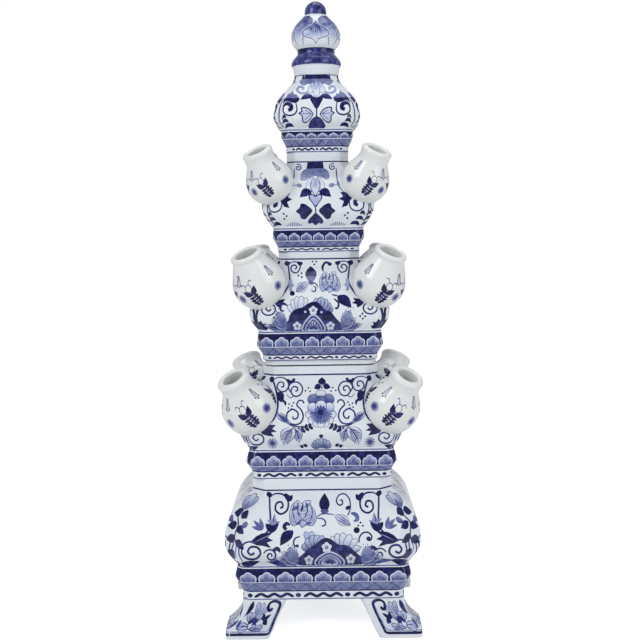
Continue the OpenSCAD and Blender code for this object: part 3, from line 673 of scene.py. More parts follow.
def middle_sheet():
    side, s = tier_sheet(MIDDLE, 0.5, 0.8, 8, 3)
    # The open seam: bare clay, painted dark as the shade that falls in the gap
    s.ring(-25.4, -24.2, CLAY_AND_SEAM_SHADE)
    s.ring(48.6, 49.6, DEEP)
    for s in s.both():
        s.fill([(20, 47), (23.6, 47.8), (24.6, 45.6), (21.4, 44.2)], NAVY)
        stem = [(21.6, 46), (20.8, 40), (20.2, 34.6), (21.6, 30), (24.6, 25), (28, 21.4)]
        s.line(stem, 1.0, DEEP, 0.9, 0.6)
        s.line([(21.4, 45.4), (18.6, 47), (15, 46.8), (13, 43.8), (15.2, 39.6), (18.8, 40.6), (19.4, 43.6),
                (17, 45), (15.4, 43.4), (16.6, 42.2)], 0.85, DEEP, 0.6, 1)
        s.line([(11.6, 47), (13, 45.6), (14.6, 47.2)], 2.2, NAVY, 0.3, 0.6)
        s.fill([(18.4, 35), (20.4, 34.6), (21, 31.4), (20.4, 27.4), (18.4, 27), (18.6, 29.4), (17, 31),
                (18.4, 32.4)], (DUSK, LILAC))
        s.poly([(31.6, 19.8), (27.6, 21.4), (23, 22), (24.6, 19.8), (22.2, 18.6), (25.4, 17.6), (26, 15.2),
                (29, 17)], NAVY)
        scroll = [(27.6, 20.6), (33.2, 20.4), (38.4, 18), (39.4, 13.8), (36.4, 11.2), (32.2, 11.6),
                  (30, 14.8), (31.6, 18), (35, 18.2), (36.4, 15.4), (34.6, 13.8), (33, 15.2)]
        s.line(scroll, 0.9, DEEP, 0.5, 1)
        s.line([(36, 19.4), (41, 17.4), (44, 13), (44.4, 8), (42, 3)], 2.0, NAVY, 0.3, 0.7)
        s.poly([(44, 1), (43, 5.6), (40.4, 7.4), (38.6, 5), (36.4, 5.6), (37, 3.2), (34.8, 2.4),
                (36.6, 0.6)], NAVY)
        s.dots([(29.4, 11.2), (31.2, 9.4), (27.8, 9.6), (29.6, 7.8)], 0.75)
    s.dots([(-4.4, 47.2), (-1.8, 47.2), (-3.2, 45.2)], 0.7)
    s.dots([(-12.1, 39.2), (-14.3, 37.6), (-12, 36.6)], 0.75)
    s.leaf((-5.4, 34), (-5.8, 44.2), 8.0, NAVY, 0, 0.86)
    s.fill([(-8.6, 36.4), (-5.6, 37.4), (-2.4, 36.4), (-3.6, 34), (-5.6, 33), (-7.4, 34)], MID)
    s.tuft(-5.4, 33.4, 2.4, 8, 0.5, MID, 180, 180)
    s.striped((-7.0, 33.6), (-15.8, 26.6), 6.0)
    s.peony(7.4, 32.8, 14.2, 14)
    s.line([(3, 40), (2.6, 43.6), (4.8, 46.4), (7.6, 45.6)], 1.4, NAVY, 0.4, 1)
    s.blob(7.6, 45.2, 1.5, 1.3, NAVY)
    s.line([(-5, 33), (-2.4, 32), (-0.4, 29.4)], 0.7, COBALT)
    s.line([(-4.2, 30.6), (-2.4, 29.4), (-2.6, 27), (-4.6, 26.8), (-5, 28.4)], 0.8, COBALT)
    # rockery with its petals
    for x, z in ((-21.4, 17.6), (-18.6, 21.4), (-8.8, 22.4), (-15.4, 23.4), (-12, 23.6)):
        s.petal((-13.6, 9), (x, z), 4.6, (SOFT, WHITE), 0.4)
    for x, z in ((9, 15.4), (7.4, 18.6), (4.8, 21.4), (-2.2, 22), (1.4, 22.8)):
        s.petal((0, 10), (x, z), 5.6, (COBALT, PALE), 0.45)
        s.line([(0.5 * x, 0.5 * z + 5), (0.9 * x, 0.9 * z + 1)], 0.8, MID, 1, 0.2)
    s.blob(-18.4, 25.6, 1.8, 1.7, NAVY)
    s.leaf((12.4, 23.6), (22, 15.2), 7.0, NAVY, 0.9)
    s.line([(8.6, 24.4), (12.6, 23.6)], 0.9, DEEP)
    s.line([(-21.7, 17.4), (-24.7, 18.6), (-26.6, 16.6), (-26.1, 14.2), (-24.2, 13.8)], 1.2, DEEP, 0.6, 1)
    s.line([(10.2, 21.6), (13.2, 18.6), (12.4, 15.2), (10.8, 15.4)], 1.2, DEEP, 0.6, 1)
    s.fill([(-26.2, 0.2), (-25, 3.9), (-21.4, 7.3), (-20.4, 10.7), (-16.8, 14.6), (-11.4, 16.2),
            (-8.2, 18.3), (-4.5, 19.8), (-0.9, 19.2), (2.3, 16.2), (4.4, 13.9), (8, 12.6), (11.6, 8),
            (15.6, 3.6), (18, 0.2), (-4, -0.2)], NAVY)
    s.fill([(-24, 0.3), (-22.6, 3.9), (-19, 6.2), (-4, 7), (11, 6.2), (13.6, 3.6), (15.6, 0.3), (-4, 0)],
           SLATE)
    arches = ((8.2, 11.6, PALE), (7.1, 10.3, SLATE), (5.9, 8.9, LILAC), (4.9, 7.6, STEEL), (4.0, 6.4, PALE))
    s.nest(-4.2, 0.3, 0, 0.72, 0.56, arches)
    s.tuft(-4.2, 0.4, 5.4, 7, 0.8, COBALT, 20, 160)
    for x, z in ((-4.2, 13.9), (-15.4, 3.2), (7.4, 3)):
        s.blossom(x, z, 3.0)
    s.dots([(-9.7, 13), (1.4, 12.6)], 0.9, PALE)
    for x, way in ((-24, -1), (16, 1)):
        s.hatched((x - way, 0.6), (x + 14 * way, 4.2), 4.6, SOFT, 7)
        s.hatched((x - way, 0.8), (x + 9.4 * way, 9), 5.8, SOFT, 7)
        s.plume((x - way, 1), (x + 4.6 * way, 12.8), 7.0)
        s.dots([(x + (2 + 1.7 * i) * way, 13.6 + 1.6 * (i % 2)) for i in range(4)], 0.45, COBALT)
    s.shift = cant_line(side)
    corner_sprig(s, 22.0, 32.0)
    return s


def upper_sheet():
    side, s = tier_sheet(UPPER, 0.0, 2.0, 7, 2)
    s.ring(45.4, 46.3, DEEP)
    s.shift = -1.6
    for s in s.both():
        s.spiral(12, 41.8, 2.8, 60, 1.5, 0.75, COBALT)
        s.line([(14.6, 41), (15, 34), (16.4, 28), (19.4, 23.6)], 0.7, COBALT, 0.9, 0.5)
        s.line([(15.4, 31.6), (16.2, 28)], 1.6, MID, 0.5, 0.4)
        s.blob(11.2, 28.8, 2.1, 1.5, SOFT, 15)
        s.line([(12.6, 29), (15.6, 29.2)], 0.6, SOFT)
        s.leaf((2.4, 24.8), (10.8, 20.6), 5.8, NAVY, 1.3)
        s.fill([(2.2, 11.3), (4.9, 14.4), (8, 16.2), (10.3, 16), (11, 13.6), (13.6, 11), (11.2, 9),
                (10, 6.2), (7.4, 5.6), (4.9, 7.9)], NAVY)
        s.dots([(20.1, 7.9), (22.1, 9.5), (21.7, 6)], 0.75)
        for i in range(9):
            x = 10 + 1.25 * i
            s.line([(x, 1.0), (x, 1.6 + 2.2 * math.sin(math.pi * (i + 1) / 10))], 0.5, MID, 0.8, 0.4)
        s.poly([(27, 22.6), (21.6, 23.7), (17.2, 23.9), (18.9, 20.9), (16, 19.3), (19.5, 17.5),
                (17.9, 13.3), (21.6, 14.3), (23.5, 17.6), (27, 21.2)], NAVY)
        scroll = [(24, 21.2), (23.2, 16.1), (24.7, 12.2), (28.6, 10.8), (32.4, 12.6), (33.2, 16.6),
                  (30.6, 19), (27.6, 18.2), (27.2, 15.6), (29.2, 14.8)]
        s.curl(scroll, 0.9, 2.5)
        s.line([(18.5, 24), (24.7, 22.2), (29.4, 22), (33.4, 20)], 0.9, DEEP, 0.6, 0.8)
        s.crumbs(((32.4, 9.4, 4.2), (30.4, 5.8, 5.6), (27, 2.4, 6.6)), 1.4, 1.6, 0.6, 0.7)
    s.poly([(-5.4, 45.8), (5.4, 45.8), (6.2, 40.4), (-6.2, 40.4)], NAVY)
    s.fill([(-10.2, 32.8), (-10, 37), (-7.8, 40), (-5, 40.9), (5, 41), (8, 40), (9.8, 36.6), (9.6, 33.4),
            (7, 32.8), (4.4, 34.4), (0, 35.6), (-4, 34), (-7, 32.2)], (DUSK, MID))
    for x in (-5.2, 5.2):
        s.petal((0.3 * x, 35.6), (x, 26.4), 5.2, (WHITE, PALE), 0.35, COBALT)
        s.line([(0.3 * x, 35), (0.75 * x, 29)], 0.4, SOFT, 1, 0.2)
    s.leaf((0, 34), (0, 20.8), 7.0, COBALT)
    s.leaf((0, 33.6), (0, 21.8), 6.0, (MIST, PALE))
    for x in (-1.4, 0, 1.4):
        s.line([(0.3 * x, 33), (x, 27)], 0.45, SOFT, 1, 0.2)
    s.fill([(-4.8, 20.4), (-3, 23.2), (0, 21.6), (3, 23.2), (4.8, 20.4), (2.4, 16.6), (0, 13.6),
            (-2.4, 16.6)], DEEP)
    s.fill([(-3.9, 20.3), (-2.7, 22.2), (0, 20.6), (2.7, 22.2), (3.9, 20.3), (1.9, 17), (0, 14.9),
            (-1.9, 17)], (LILAC, PALE))
    s.line([(0, 14), (0, 9.6)], 0.7, DEEP, 1, 1)
    s.fill([(0, 9.8), (-2.6, 7.8), (-4.8, 5.4), (-5.6, 3.2), (-3.8, 2.5), (-2.6, 3.1), (-0.2, 1.4),
            (2, 2.9), (3.6, 2.3), (5.2, 3.4), (4.6, 5.6), (2.6, 7.8)], (SLATE, NAVY))
    s.shift = cant_line(side)
    s.line([(0, 21), (0, 15), (0, 9), (0, 1)], 1.0, DEEP, 0.4, 0.8)
    return s


def crown_sheet():
    side, s = tier_sheet(CROWN, 0.0, 1.7, 6, 2)
    s.ring(38.0, 38.5, DEEP)
    s.poly([(-10, 38.2), (10, 38.2), (10.6, 34.6), (-10.6, 34.6)], NAVY)
    s.fill([(-10.8, 35), (10.8, 35), (11, 31.6), (8.6, 30.2), (5.4, 31.6), (0, 30.6), (-5.4, 31.6),
            (-8.6, 30.2), (-11, 31.6)], HAZE)
    for s in s.both():
        s.line([(5.6, 25.4), (10, 24.4), (13.2, 26.4), (12, 29.4), (9, 28.6), (9.8, 27)], 1.6, SOFT, 0.5, 0.9)
        s.petal((2.4, 33), (4.8, 24.4), 4.6, (MIST, PALE), 0.35, COBALT, LILAC)
        s.leaf((2.6, 22.6), (11.2, 19.6), 4.2, (NAVY, WORN), 0.9)
        s.fill([(2.2, 9.7), (5, 13.1), (8.9, 14.5), (10.9, 13.6), (10.5, 11.7), (12.6, 10), (10.5, 8.1),
                (10.1, 4.7), (8.1, 3.3), (5.4, 4.7), (3.2, 7.3)], DEEP)
        s.fill([(3, 9.6), (5.4, 12.3), (8.8, 13.6), (10, 13), (9.5, 11.2), (11.4, 9.9), (9.7, 8.4),
                (9.3, 5), (8, 4.2), (5.8, 5.3), (3.9, 7.5)], (PALE, MIST))
        for tip in ((8.4, 12.4), (11, 10), (8, 5.6)):
            s.line([(3.6, 9.6), tip], 0.5, MID, 1, 0.3)
        s.fill([(11.8, 20.9), (13, 22), (14.1, 24.1), (15.2, 23.6), (16.6, 26.3), (18.2, 25), (20.5, 24.3),
                (21.8, 21.4), (17, 20)], HAZE)
        s.fill([(11.8, 21), (15, 20.8), (18, 21), (22, 21.8), (23.8, 20.2), (24, 16.8), (22.4, 18.4),
                (19.8, 18.6), (17, 17.6), (14.4, 17.4), (12.4, 18.6)], NAVY)
        scroll = [(14.2, 17.4), (13.6, 12.4), (15.6, 9.4), (19.8, 8.8), (23.2, 11.4), (23.2, 15.2),
                  (20.6, 17), (17.8, 15.8), (17.6, 13.2), (19.6, 12.4)]
        s.curl(scroll, 1.0, 2.7)
        s.crumbs(((22.6, 7.6, 3.4), (21.8, 4.8, 4.8), (19.2, 1.9, 6.4)), 1.5, 1.7, 0.5, 0.5)
    s.petal((0, 33.6), (0, 21.8), 5.4, (MIST, PALE), 0.35, COBALT, LILAC)
    s.fill([(-4.4, 20.4), (-3.2, 22.2), (0, 21.2), (3.2, 22.2), (4.4, 20.4), (3.2, 17.4), (0, 12.8),
            (-3.2, 17.4)], NAVY)
    s.line([(0, 13.4), (0, 7.4)], 0.8, DEEP, 1, 1)
    s.fill([(-5.6, 0.4), (-5, 4), (-2.6, 6.8), (0, 7.8), (2.6, 6.8), (5, 4), (5.6, 0.4), (0, 0.2)],
           (SLATE, NAVY))
    s.shift = cant_line(side)
    s.line([(0, 22), (0, 15), (0, 8), (0, 1)], 1.0, DEEP, 0.4, 0.8)
    return s


def cant_line(side):
    """How far round from the front's middle the middle of the canted corner lies, by height."""
    return lambda z: np.interp(z, side.z, side.a - side.c * (1 - math.sqrt(0.5)))


def corner_sprig(sheet, low, high):
    """A few leaves on a cant, under the spout."""
    sheet.line([(0, low), (0.4, mix(low, high, 0.5)), (0, high)], 0.9, DEEP)
    for f, x in ((0.2, -5), (0.4, 5), (0.7, -4.4), (0.85, 4.4)):
        z = mix(low, high, f)
        sheet.leaf((0, z - 1), (x, z + 2.4), 3.4, NAVY, 0.3)


# Surfaces that a sheet is painted on, in millimetres: (across, up) to a place in space
class Surface:
    """What surfaces share: rows of points at most spacing apart, and the turn from one seam to the other."""

    spacing = 1.2
    least = 0.02
    turn = 0.0

    def rows(self, sheet):
        """Heights of the rows: the profile's and the painted bands', and more where they are far apart."""
        z = np.clip(np.concatenate([self.z, sheet.levels]), self.z[0], self.z[-1])
        z = np.unique(np.round(z, 3))
        z = np.concatenate([z[:1], z[1:][np.diff(z) > self.least]])
        runs = []
        for a, b in zip(z, z[1:]):
            runs.append(np.linspace(a, b, max(1, math.ceil((b - a) / self.spacing)), endpoint=False))
        return np.append(np.concatenate(runs), z[-1])


class CantedSide(Surface):
    """One of a tier's four sides with the canted corner to its right, edges softened."""

    across = 26
    column = 4.5
    turn = math.pi / 2

    def __init__(self, tier, edge, corner):
        self.corner = corner
        foot, body = tier.foot_w / 2, body_z(tier)
        arris = foot + tier.arris
        waist = arris - tier.waist
        bulge = waist + tier.bulge
        rise = tier.body_h - tier.bulge_h
        ring = [(tier.foot_z, foot, MOULDING_CANT)]
        if tier.strip:
            inner = foot - SEAM_IN
            mouth = foot - WALL - SEAT_PLAY
            seam = tier.foot_z - tier.strip
            collar = ((seam - COLLAR_H, mouth), (seam - LEDGE, mouth), (seam, inner),
                      (tier.foot_z - LEDGE, inner))
            ring = [(z, a, MOULDING_CANT) for z, a in collar] + ring
        bands = ((tier.foot_z + tier.wave, foot), (body - tier.shell, arris), (body, waist))
        ring += [(z, a, MOULDING_CANT) for z, a in bands]
        for t in np.linspace(0, 1, 17)[1:]:
            a = mix(waist, bulge, math.sin(math.pi / 2 * t))
            ring.append((body + tier.bulge_h * t, a, mix(MOULDING_CANT, tier.bulge_cant, t)))
        neck = tier.neck_w / 2
        for t in np.linspace(0, 1, 29)[1:]:
            z = body + tier.bulge_h + rise * bezier(0, 0.55, 0.7, 1, t)
            a = bezier(bulge, bulge, mix(neck, bulge, tier.flare), neck, t)
            ring.append((z, a, mix(tier.bulge_cant, tier.neck_cant, t)))
        if tier.rim:
            ring.append((body + tier.body_h + tier.rim, neck, tier.neck_cant))
        self.z, self.a, self.c = soften(np.array(ring), edge).T

    def parts(self, z):
        """Half width, flat half length, corner radius, and the lengths of its arc and of the cant."""
        a, c = np.interp(z, self.z, self.a), np.interp(z, self.z, self.c)
        bite = math.tan(math.pi / 8)
        r = np.minimum(self.corner, 0.45 * c * math.sqrt(2) / bite)
        return a, a - c - bite * r, r, r * math.pi / 4, c * math.sqrt(2) - 2 * bite * r

    def limits(self, z):
        a, b, r, arc, cant = self.parts(z)
        return -b, b + 2 * arc + cant

    def columns(self, z):
        a, b, r, arc, cant = self.parts(z)
        n = max(4, int(2 * b / self.column))
        flat = -b + 2 * b * np.arange(1, n) / n
        first, last = arc * np.arange(4) / 3, arc + cant + arc * np.arange(3) / 3
        turn = b + np.concatenate([first, arc + cant * np.array([0.35, 0.65]), last])
        return np.concatenate([flat, turn])

    def place(self, q, z):
        a, b, r, arc, cant = self.parts(z)
        t = q - b
        u = np.clip(t - arc, 0, cant) / math.sqrt(2)
        angle = (np.clip(t, 0, arc) + np.clip(t - arc - cant, 0, arc)) / np.maximum(r, 1e-6)
        x = np.minimum(q, b) + r * np.sin(angle) + u
        return np.stack([x, -a + r * (1 - np.cos(angle)) + u, z], 1)


class Turned(Surface):
    """A turned form, or a share of one, about the z axis."""

    spacing = 0.9

    def __init__(self, z, r, share, across, facing=-math.pi / 2):
        self.z, self.r = np.asarray(z, float), np.asarray(r, float)
        self.unit = self.r.max()
        self.half = math.pi * self.unit * share
        self.turn = 2 * math.pi * share
        self.across = across
        self.facing = facing

    def limits(self, z):
        return np.full_like(z, -self.half), np.full_like(z, self.half)

    def columns(self, z):
        return np.linspace(-self.half, self.half, self.across + 1)[1:-1]

    def place(self, q, z):
        angle = self.facing + q / self.unit
        r = np.interp(z, self.z, self.r)
        return np.stack([r * np.cos(angle), r * np.sin(angle), z], 1)


class Bracket(Surface):
    """A foot: a soft-cornered square that changes with height, unrolled from its inner front edge."""

    across = 64

    def __init__(self):
        self.z = np.linspace(0, FOOT_H, 21)
        corner = np.linspace(0, math.pi / 2, 6)
        k = 1 - FOOT_ROUND
        turns = [(1, -1, -90), (1, 1, 0), (-1, 1, 90), (-1, -1, 180)]
        x, y = [-k], [-1.0]
        for sx, sy, first in turns:
            x += list(sx * k + FOOT_ROUND * np.cos(corner + math.radians(first)))
            y += list(sy * k + FOOT_ROUND * np.sin(corner + math.radians(first)))
        self.x, self.y = np.array(x), np.array(y)
        run = np.concatenate([[0], np.cumsum(np.hypot(np.diff(x), np.diff(y)))])
        self.run = run * 4 * FOOT_W / run[-1]

    def limits(self, z):
        return np.zeros_like(z), np.full_like(z, self.run[-1])

    def columns(self, z):
        return self.run[1:-1]

    def place(self, q, z):
        fall = np.clip((FOOT_H - z) / (FOOT_H - TOE_H), 0, 1)
        outer = BASE.foot_w / 2 + FOOT_SPLAY * fall**FOOT_HOLLOW
        inner = BASE.foot_w / 2 - FOOT_W + FOOT_SLANT * (1 - z / FOOT_H)
        mid, half = (outer + inner) / 2, (outer - inner) / 2
        x, y = np.interp(q, self.run, self.x), np.interp(q, self.run, self.y)
        return np.stack([mid + half * x, -mid + half * y, z], 1)


def soften(rings, edge):
    """Rounds the sharp turns of a profile of (height, half width, cant) rows."""
    out = [rings[0]]
    for before, here, after in zip(rings, rings[1:], rings[2:]):
        a, b = before[:2] - here[:2], after[:2] - here[:2]
        la, lb = np.hypot(*a), np.hypot(*b)
        if np.dot(a, b) / (la * lb) > -math.cos(SHARP_TURN):
            p = here + (before - here) * min(0.45, edge / la)
            q = here + (after - here) * min(0.45, edge / lb)
            for t in np.linspace(0, 1, 5):
                out.append(p * (1 - t) ** 2 + 2 * here * t * (1 - t) + q * t * t)
        else:
            out.append(here)
    return np.array(out + [rings[-1]])


def past(points, z, edge):
    """How far points lie to the right of a side edge."""
    return points[:, 0] - np.interp(points[:, 1], z, edge)


def seam_heights(shapes, z, low, high):
    """Heights at which painted outlines cross either side edge of the sheet."""
    found = []
    for outlines, _ in shapes:
        for shape in outlines:
            ends = np.roll(shape, -1, axis=0)
            for edge in (low, high):
                here, there = past(shape, z, edge), past(ends, z, edge)
                cut = here * there < 0
                a, b, first = shape[cut], ends[cut], here[cut]
                for _ in range(HALVINGS):
                    mid = (a + b) / 2
                    same = (past(mid, z, edge) * first > 0)[:, None]
                    a, b = np.where(same, mid, a), np.where(same, b, mid)
                found.append(a[:, 1])
    return np.concatenate(found) if found else np.zeros(0)


def topmost(places, shapes):
    """Which shape shows at each place, counted from 1; 0 is the bare sheet."""
    shown = np.zeros(len(places), int)
    for i, (outlines, _) in enumerate(shapes, 1):
        for shape in outlines:
            near = np.flatnonzero(((places >= shape.min(0)) & (places <= shape.max(0))).all(1))
            x, z = places[near].T[:, :, None]
            (ax, az), (bx, bz) = shape.T, np.roll(shape, -1, axis=0).T
            left = (bx - ax) * (z - az) - (x - ax) * (bz - az)
            rising = ((az <= z) & (bz > z) & (left > 0)).sum(1)
            falling = ((az > z) & (bz <= z) & (left < 0)).sum(1)
            shown[near[rising != falling]] = i
    return shown


def shared_slivers(tris, chains):
    """Triangles that lie along both seams at the same heights: they would lie double once the seams meet."""
    found = []
    for chain in chains:
        spot = {v: i for i, v in enumerate(chain)}
        rows = np.flatnonzero(np.isin(tris, list(spot)).all(1))
        found.append({tuple(sorted(spot[v] for v in tris[row])): row for row in rows})
    first, second = found
    return [row for key in first.keys() & second.keys() for row in (first[key], second[key])]


def cut_sheet(surface, sheet):
    """The flat sheet cut along every outline: points, triangles, the shape each shows, and its edges."""
    z = surface.rows(sheet)
    low, high = surface.limits(z)
    n = surface.across
    share = np.linspace(0, 1, n + 1)
    foot = np.stack([mix(low[0], high[0], share), np.full(n + 1, z[0])], 1)
    head = np.stack([mix(low[-1], high[-1], share), np.full(n + 1, z[-1])], 1)
    seam = np.concatenate([z, seam_heights(sheet.shapes, z, low, high)])
    seam = np.unique(seam[(seam > z[0]) & (seam < z[-1])])
    seam = seam[np.concatenate([[True], np.diff(seam) > 0.5 * MERGE])]
    right = np.stack([np.interp(seam, z, high), seam], 1)
    left = np.stack([np.interp(seam, z, low), seam], 1)
    outline = np.vstack([foot, right, head[::-1], left[::-1]])
    points, faces, count = [outline], [list(range(len(outline)))], len(outline)
    for level in z[1:-1]:
        q = surface.columns(np.float64(level))
        points.append(np.stack([q, np.full(len(q), level)], 1))
        count += len(q)
    for outlines, _ in sheet.shapes:
        for shape in outlines:
            points.append(shape)
            faces.append(list(range(count, count + len(shape))))
            count += len(shape)
    flat = [Vector(p) for p in np.vstack(points)]
    verts, _, tris, source, *_ = delaunay_2d_cdt(flat, [], faces, 0, MERGE, True)
    verts, tris = np.array(verts), np.array(tris)
    centre = verts[tris].mean(1)
    inside = (past(centre, z, low) > 0) & (past(centre, z, high) < 0)
    inside &= (centre[:, 1] > z[0]) & (centre[:, 1] < z[-1])
    at = {k: i for i, ids in enumerate(source) for k in ids}
    m = len(right)
    chains = (range(n, n + m + 2), (0, *range(2 * n + 1 + 2 * m, 2 * n + m, -1)))
    inside[shared_slivers(tris, [[at[k] for k in chain] for chain in chains])] = False
    tris, centre = tris[inside], centre[inside]
    used, tris = np.unique(tris, return_inverse=True)
    verts, tris = verts[used], tris.reshape(-1, 3)
    fresh = {k: i for i, k in enumerate(used)}
    runs = {"foot": (0, 1, n + 1), "right": (n + 1, 1, m), "head": (2 * n + 1 + m, -1, n + 1),
            "left": (2 * n + 1 + 2 * m, -1, m)}
    sides = {}
    for name, (first, step, length) in runs.items():
        found = [at[first + step * k] for k in range(length)]
        sides[name] = [fresh[i] for i in found if i in fresh]
    return verts, tris, topmost(centre, sheet.shapes), sides


def painted_mesh(name, surface, sheet, below=(), above=(), tube=False):
    """The painted surface as a mesh, with the pigment kept per face corner.

    below and above are further rows (share of the edge's radius, height) that close it; 0 is the axis.
    """
    verts, tris, top, sides = cut_sheet(surface, sheet)
    tone = np.zeros((len(tris), 3))
    height = verts[tris][:, :, 1]
    for i, (outlines, pigment) in enumerate(sheet.shapes, 1):
        mine = top == i
        if isinstance(pigment, tuple):
            stack = np.vstack(outlines)[:, 1]
            f = (height[mine] - stack.min()) / max(np.ptp(stack), 1e-6)
            tone[mine] = mix(pigment[0], pigment[1], np.clip(f, 0, 1))
        else:
            tone[mine] = pigment
    space = surface.place(verts[:, 0], verts[:, 1])
    c, s = math.cos(surface.turn), math.sin(surface.turn)
    for near, far in (("left", "right"), ("foot", "foot"), ("head", "head")):
        pairs = zip(sides[near], sides[far]) if near != far else [(sides[near][0], sides[far][-1])]
        for i, k in pairs:
            x, y, z = space[i]
            space[k] = (c * x - s * y, s * x + c * y, z)
    space = list(space)
    cells = [list(t) for t in tris]
    tones = list(tone.ravel())

    def join(ids, fresh, upward):
        for a, b, c, d in zip(ids, ids[1:], fresh, fresh[1:]):
            cells.append([a, b, d, c] if upward else [b, a, c, d])
            tones.extend([0.0] * 4)

    def close(ids, rows, upward):
        edge = np.array([space[i] for i in ids])
        for scale, level in rows:
            if scale == 0:
                space.append(np.array([0, 0, level]))
                hub = len(space) - 1
                for a, b in zip(ids, ids[1:]):
                    cells.append([a, b, hub] if upward else [b, a, hub])
                    tones.extend([0.0] * 3)
                return ids
            fresh = list(range(len(space), len(space) + len(ids)))
            space.extend(np.column_stack([edge[:, :2] * scale, np.full(len(ids), level)]))
            join(ids, fresh, upward)
            ids = fresh
        return ids

    last = close(sides["head"], above, True)
    if tube:
        join(last, sides["foot"], True)
    else:
        close(sides["foot"], below, False)
    mesh = bpy.data.meshes.new(name)
    mesh.from_pydata([tuple(np.asarray(p) * MM) for p in space], [], cells)
    pigment = mesh.attributes.new("pigment", "FLOAT", "CORNER")
    pigment.data.foreach_set("value", np.array(tones, np.float32))
    mesh.validate()
    return mesh


# Node trees
def add_node(tree, kind, values=None, **fields):
    """A new node with its fields and the values of its inputs set."""
    node = tree.nodes.new(kind)
    for name, value in fields.items():
        setattr(node, name, value)
    for name, value in (values or {}).items():
        node.inputs[name].default_value = value
    return node


def wire(tree, *pairs):
    for source, target in pairs:
        tree.links.new(source, target)


def around(tree, ins, geometry, first):
    """Real copies of a geometry about the z axis; first is an angle or a socket."""
    spots = add_node(tree, "GeometryNodePoints")
    index = add_node(tree, "GeometryNodeInputIndex")
    step = add_node(tree, "ShaderNodeMath", {0: 2 * math.pi}, operation="DIVIDE")
    angle = add_node(tree, "ShaderNodeMath", operation="MULTIPLY_ADD")
    turn = add_node(tree, "ShaderNodeCombineXYZ")
    copies = add_node(tree, "GeometryNodeInstanceOnPoints")
    real = add_node(tree, "GeometryNodeRealizeInstances")
    wire(
        tree,
        (ins.outputs["Count"], spots.inputs["Count"]),
        (ins.outputs["Count"], step.inputs[1]),
        (index.outputs[0], angle.inputs[0]),
        (step.outputs[0], angle.inputs[1]),
        (angle.outputs[0], turn.inputs["Z"]),
        (spots.outputs[0], copies.inputs["Points"]),
        (geometry, copies.inputs["Instance"]),
        (turn.outputs[0], copies.inputs["Rotation"]),
        (copies.outputs[0], real.inputs[0]),
    )
    if isinstance(first, float):
        angle.inputs[2].default_value = first
    else:
        wire(tree, (first, angle.inputs[2]))
    return real.outputs[0]


def cut_sockets(tree, ins, body):
    """The body less a ball at each corner."""
    ball = add_node(tree, "GeometryNodeMeshIcoSphere", {"Subdivisions": 4})
    place = add_node(tree, "GeometryNodeTransform")
    shift = add_node(tree, "ShaderNodeCombineXYZ")
    cut = add_node(tree, "GeometryNodeMeshBoolean", operation="DIFFERENCE", solver="EXACT")
    wire(
        tree,
        (ins.outputs["Ball Radius"], ball.inputs["Radius"]),
        (ins.outputs["Ball Reach"], shift.inputs["X"]),
        (ins.outputs["Ball Height"], shift.inputs["Z"]),
        (ball.outputs["Mesh"], place.inputs["Geometry"]),
        (shift.outputs[0], place.inputs["Translation"]),
        (body, cut.inputs["Mesh 1"]),
        (around(tree, ins, place.outputs[0], math.pi / 4), cut.inputs["Mesh 2"]),
    )
    return cut.outputs["Mesh"]


def round_tree(name, socketed):
    """Repeats a part about the z axis, welds it and, if asked, cuts round sockets at the corners."""
    tree = bpy.data.node_groups.new(name, "GeometryNodeTree")
    face = tree.interface
    face.new_socket("Geometry", in_out="INPUT", socket_type="NodeSocketGeometry")
    face.new_socket("Geometry", in_out="OUTPUT", socket_type="NodeSocketGeometry")
    for label, kind in (("Count", "Int"), ("First Angle", "Float"), ("Weld", "Float"),
                        ("Material", "Material"), ("Ball Radius", "Float"), ("Ball Reach", "Float"),
                        ("Ball Height", "Float")):
        face.new_socket(label, in_out="INPUT", socket_type="NodeSocket" + kind)
    ins, out = add_node(tree, "NodeGroupInput"), add_node(tree, "NodeGroupOutput")
    weld = add_node(tree, "GeometryNodeMergeByDistance")
    copies = around(tree, ins, ins.outputs["Geometry"], ins.outputs["First Angle"])
    wire(tree, (copies, weld.inputs["Geometry"]), (ins.outputs["Weld"], weld.inputs["Distance"]))
    body = cut_sockets(tree, ins, weld.outputs[0]) if socketed else weld.outputs[0]
    smooth = add_node(tree, "GeometryNodeSetShadeSmooth")
    crease = add_node(tree, "GeometryNodeSetShadeSmooth", {"Shade Smooth": False}, domain="EDGE")
    angle = add_node(tree, "GeometryNodeInputMeshEdgeAngle")
    sharp = add_node(tree, "FunctionNodeCompare", {"B": CREASE})
    coat = add_node(tree, "GeometryNodeSetMaterial")
    wire(
        tree,
        (angle.outputs["Unsigned Angle"], sharp.inputs["A"]),
        (sharp.outputs[0], crease.inputs["Selection"]),
        (body, smooth.inputs["Geometry"]),
        (smooth.outputs[0], crease.inputs["Geometry"]),
        (crease.outputs[0], coat.inputs["Geometry"]),
        (ins.outputs["Material"], coat.inputs["Material"]),
        (coat.outputs[0], out.inputs[0]),
    )
    return tree


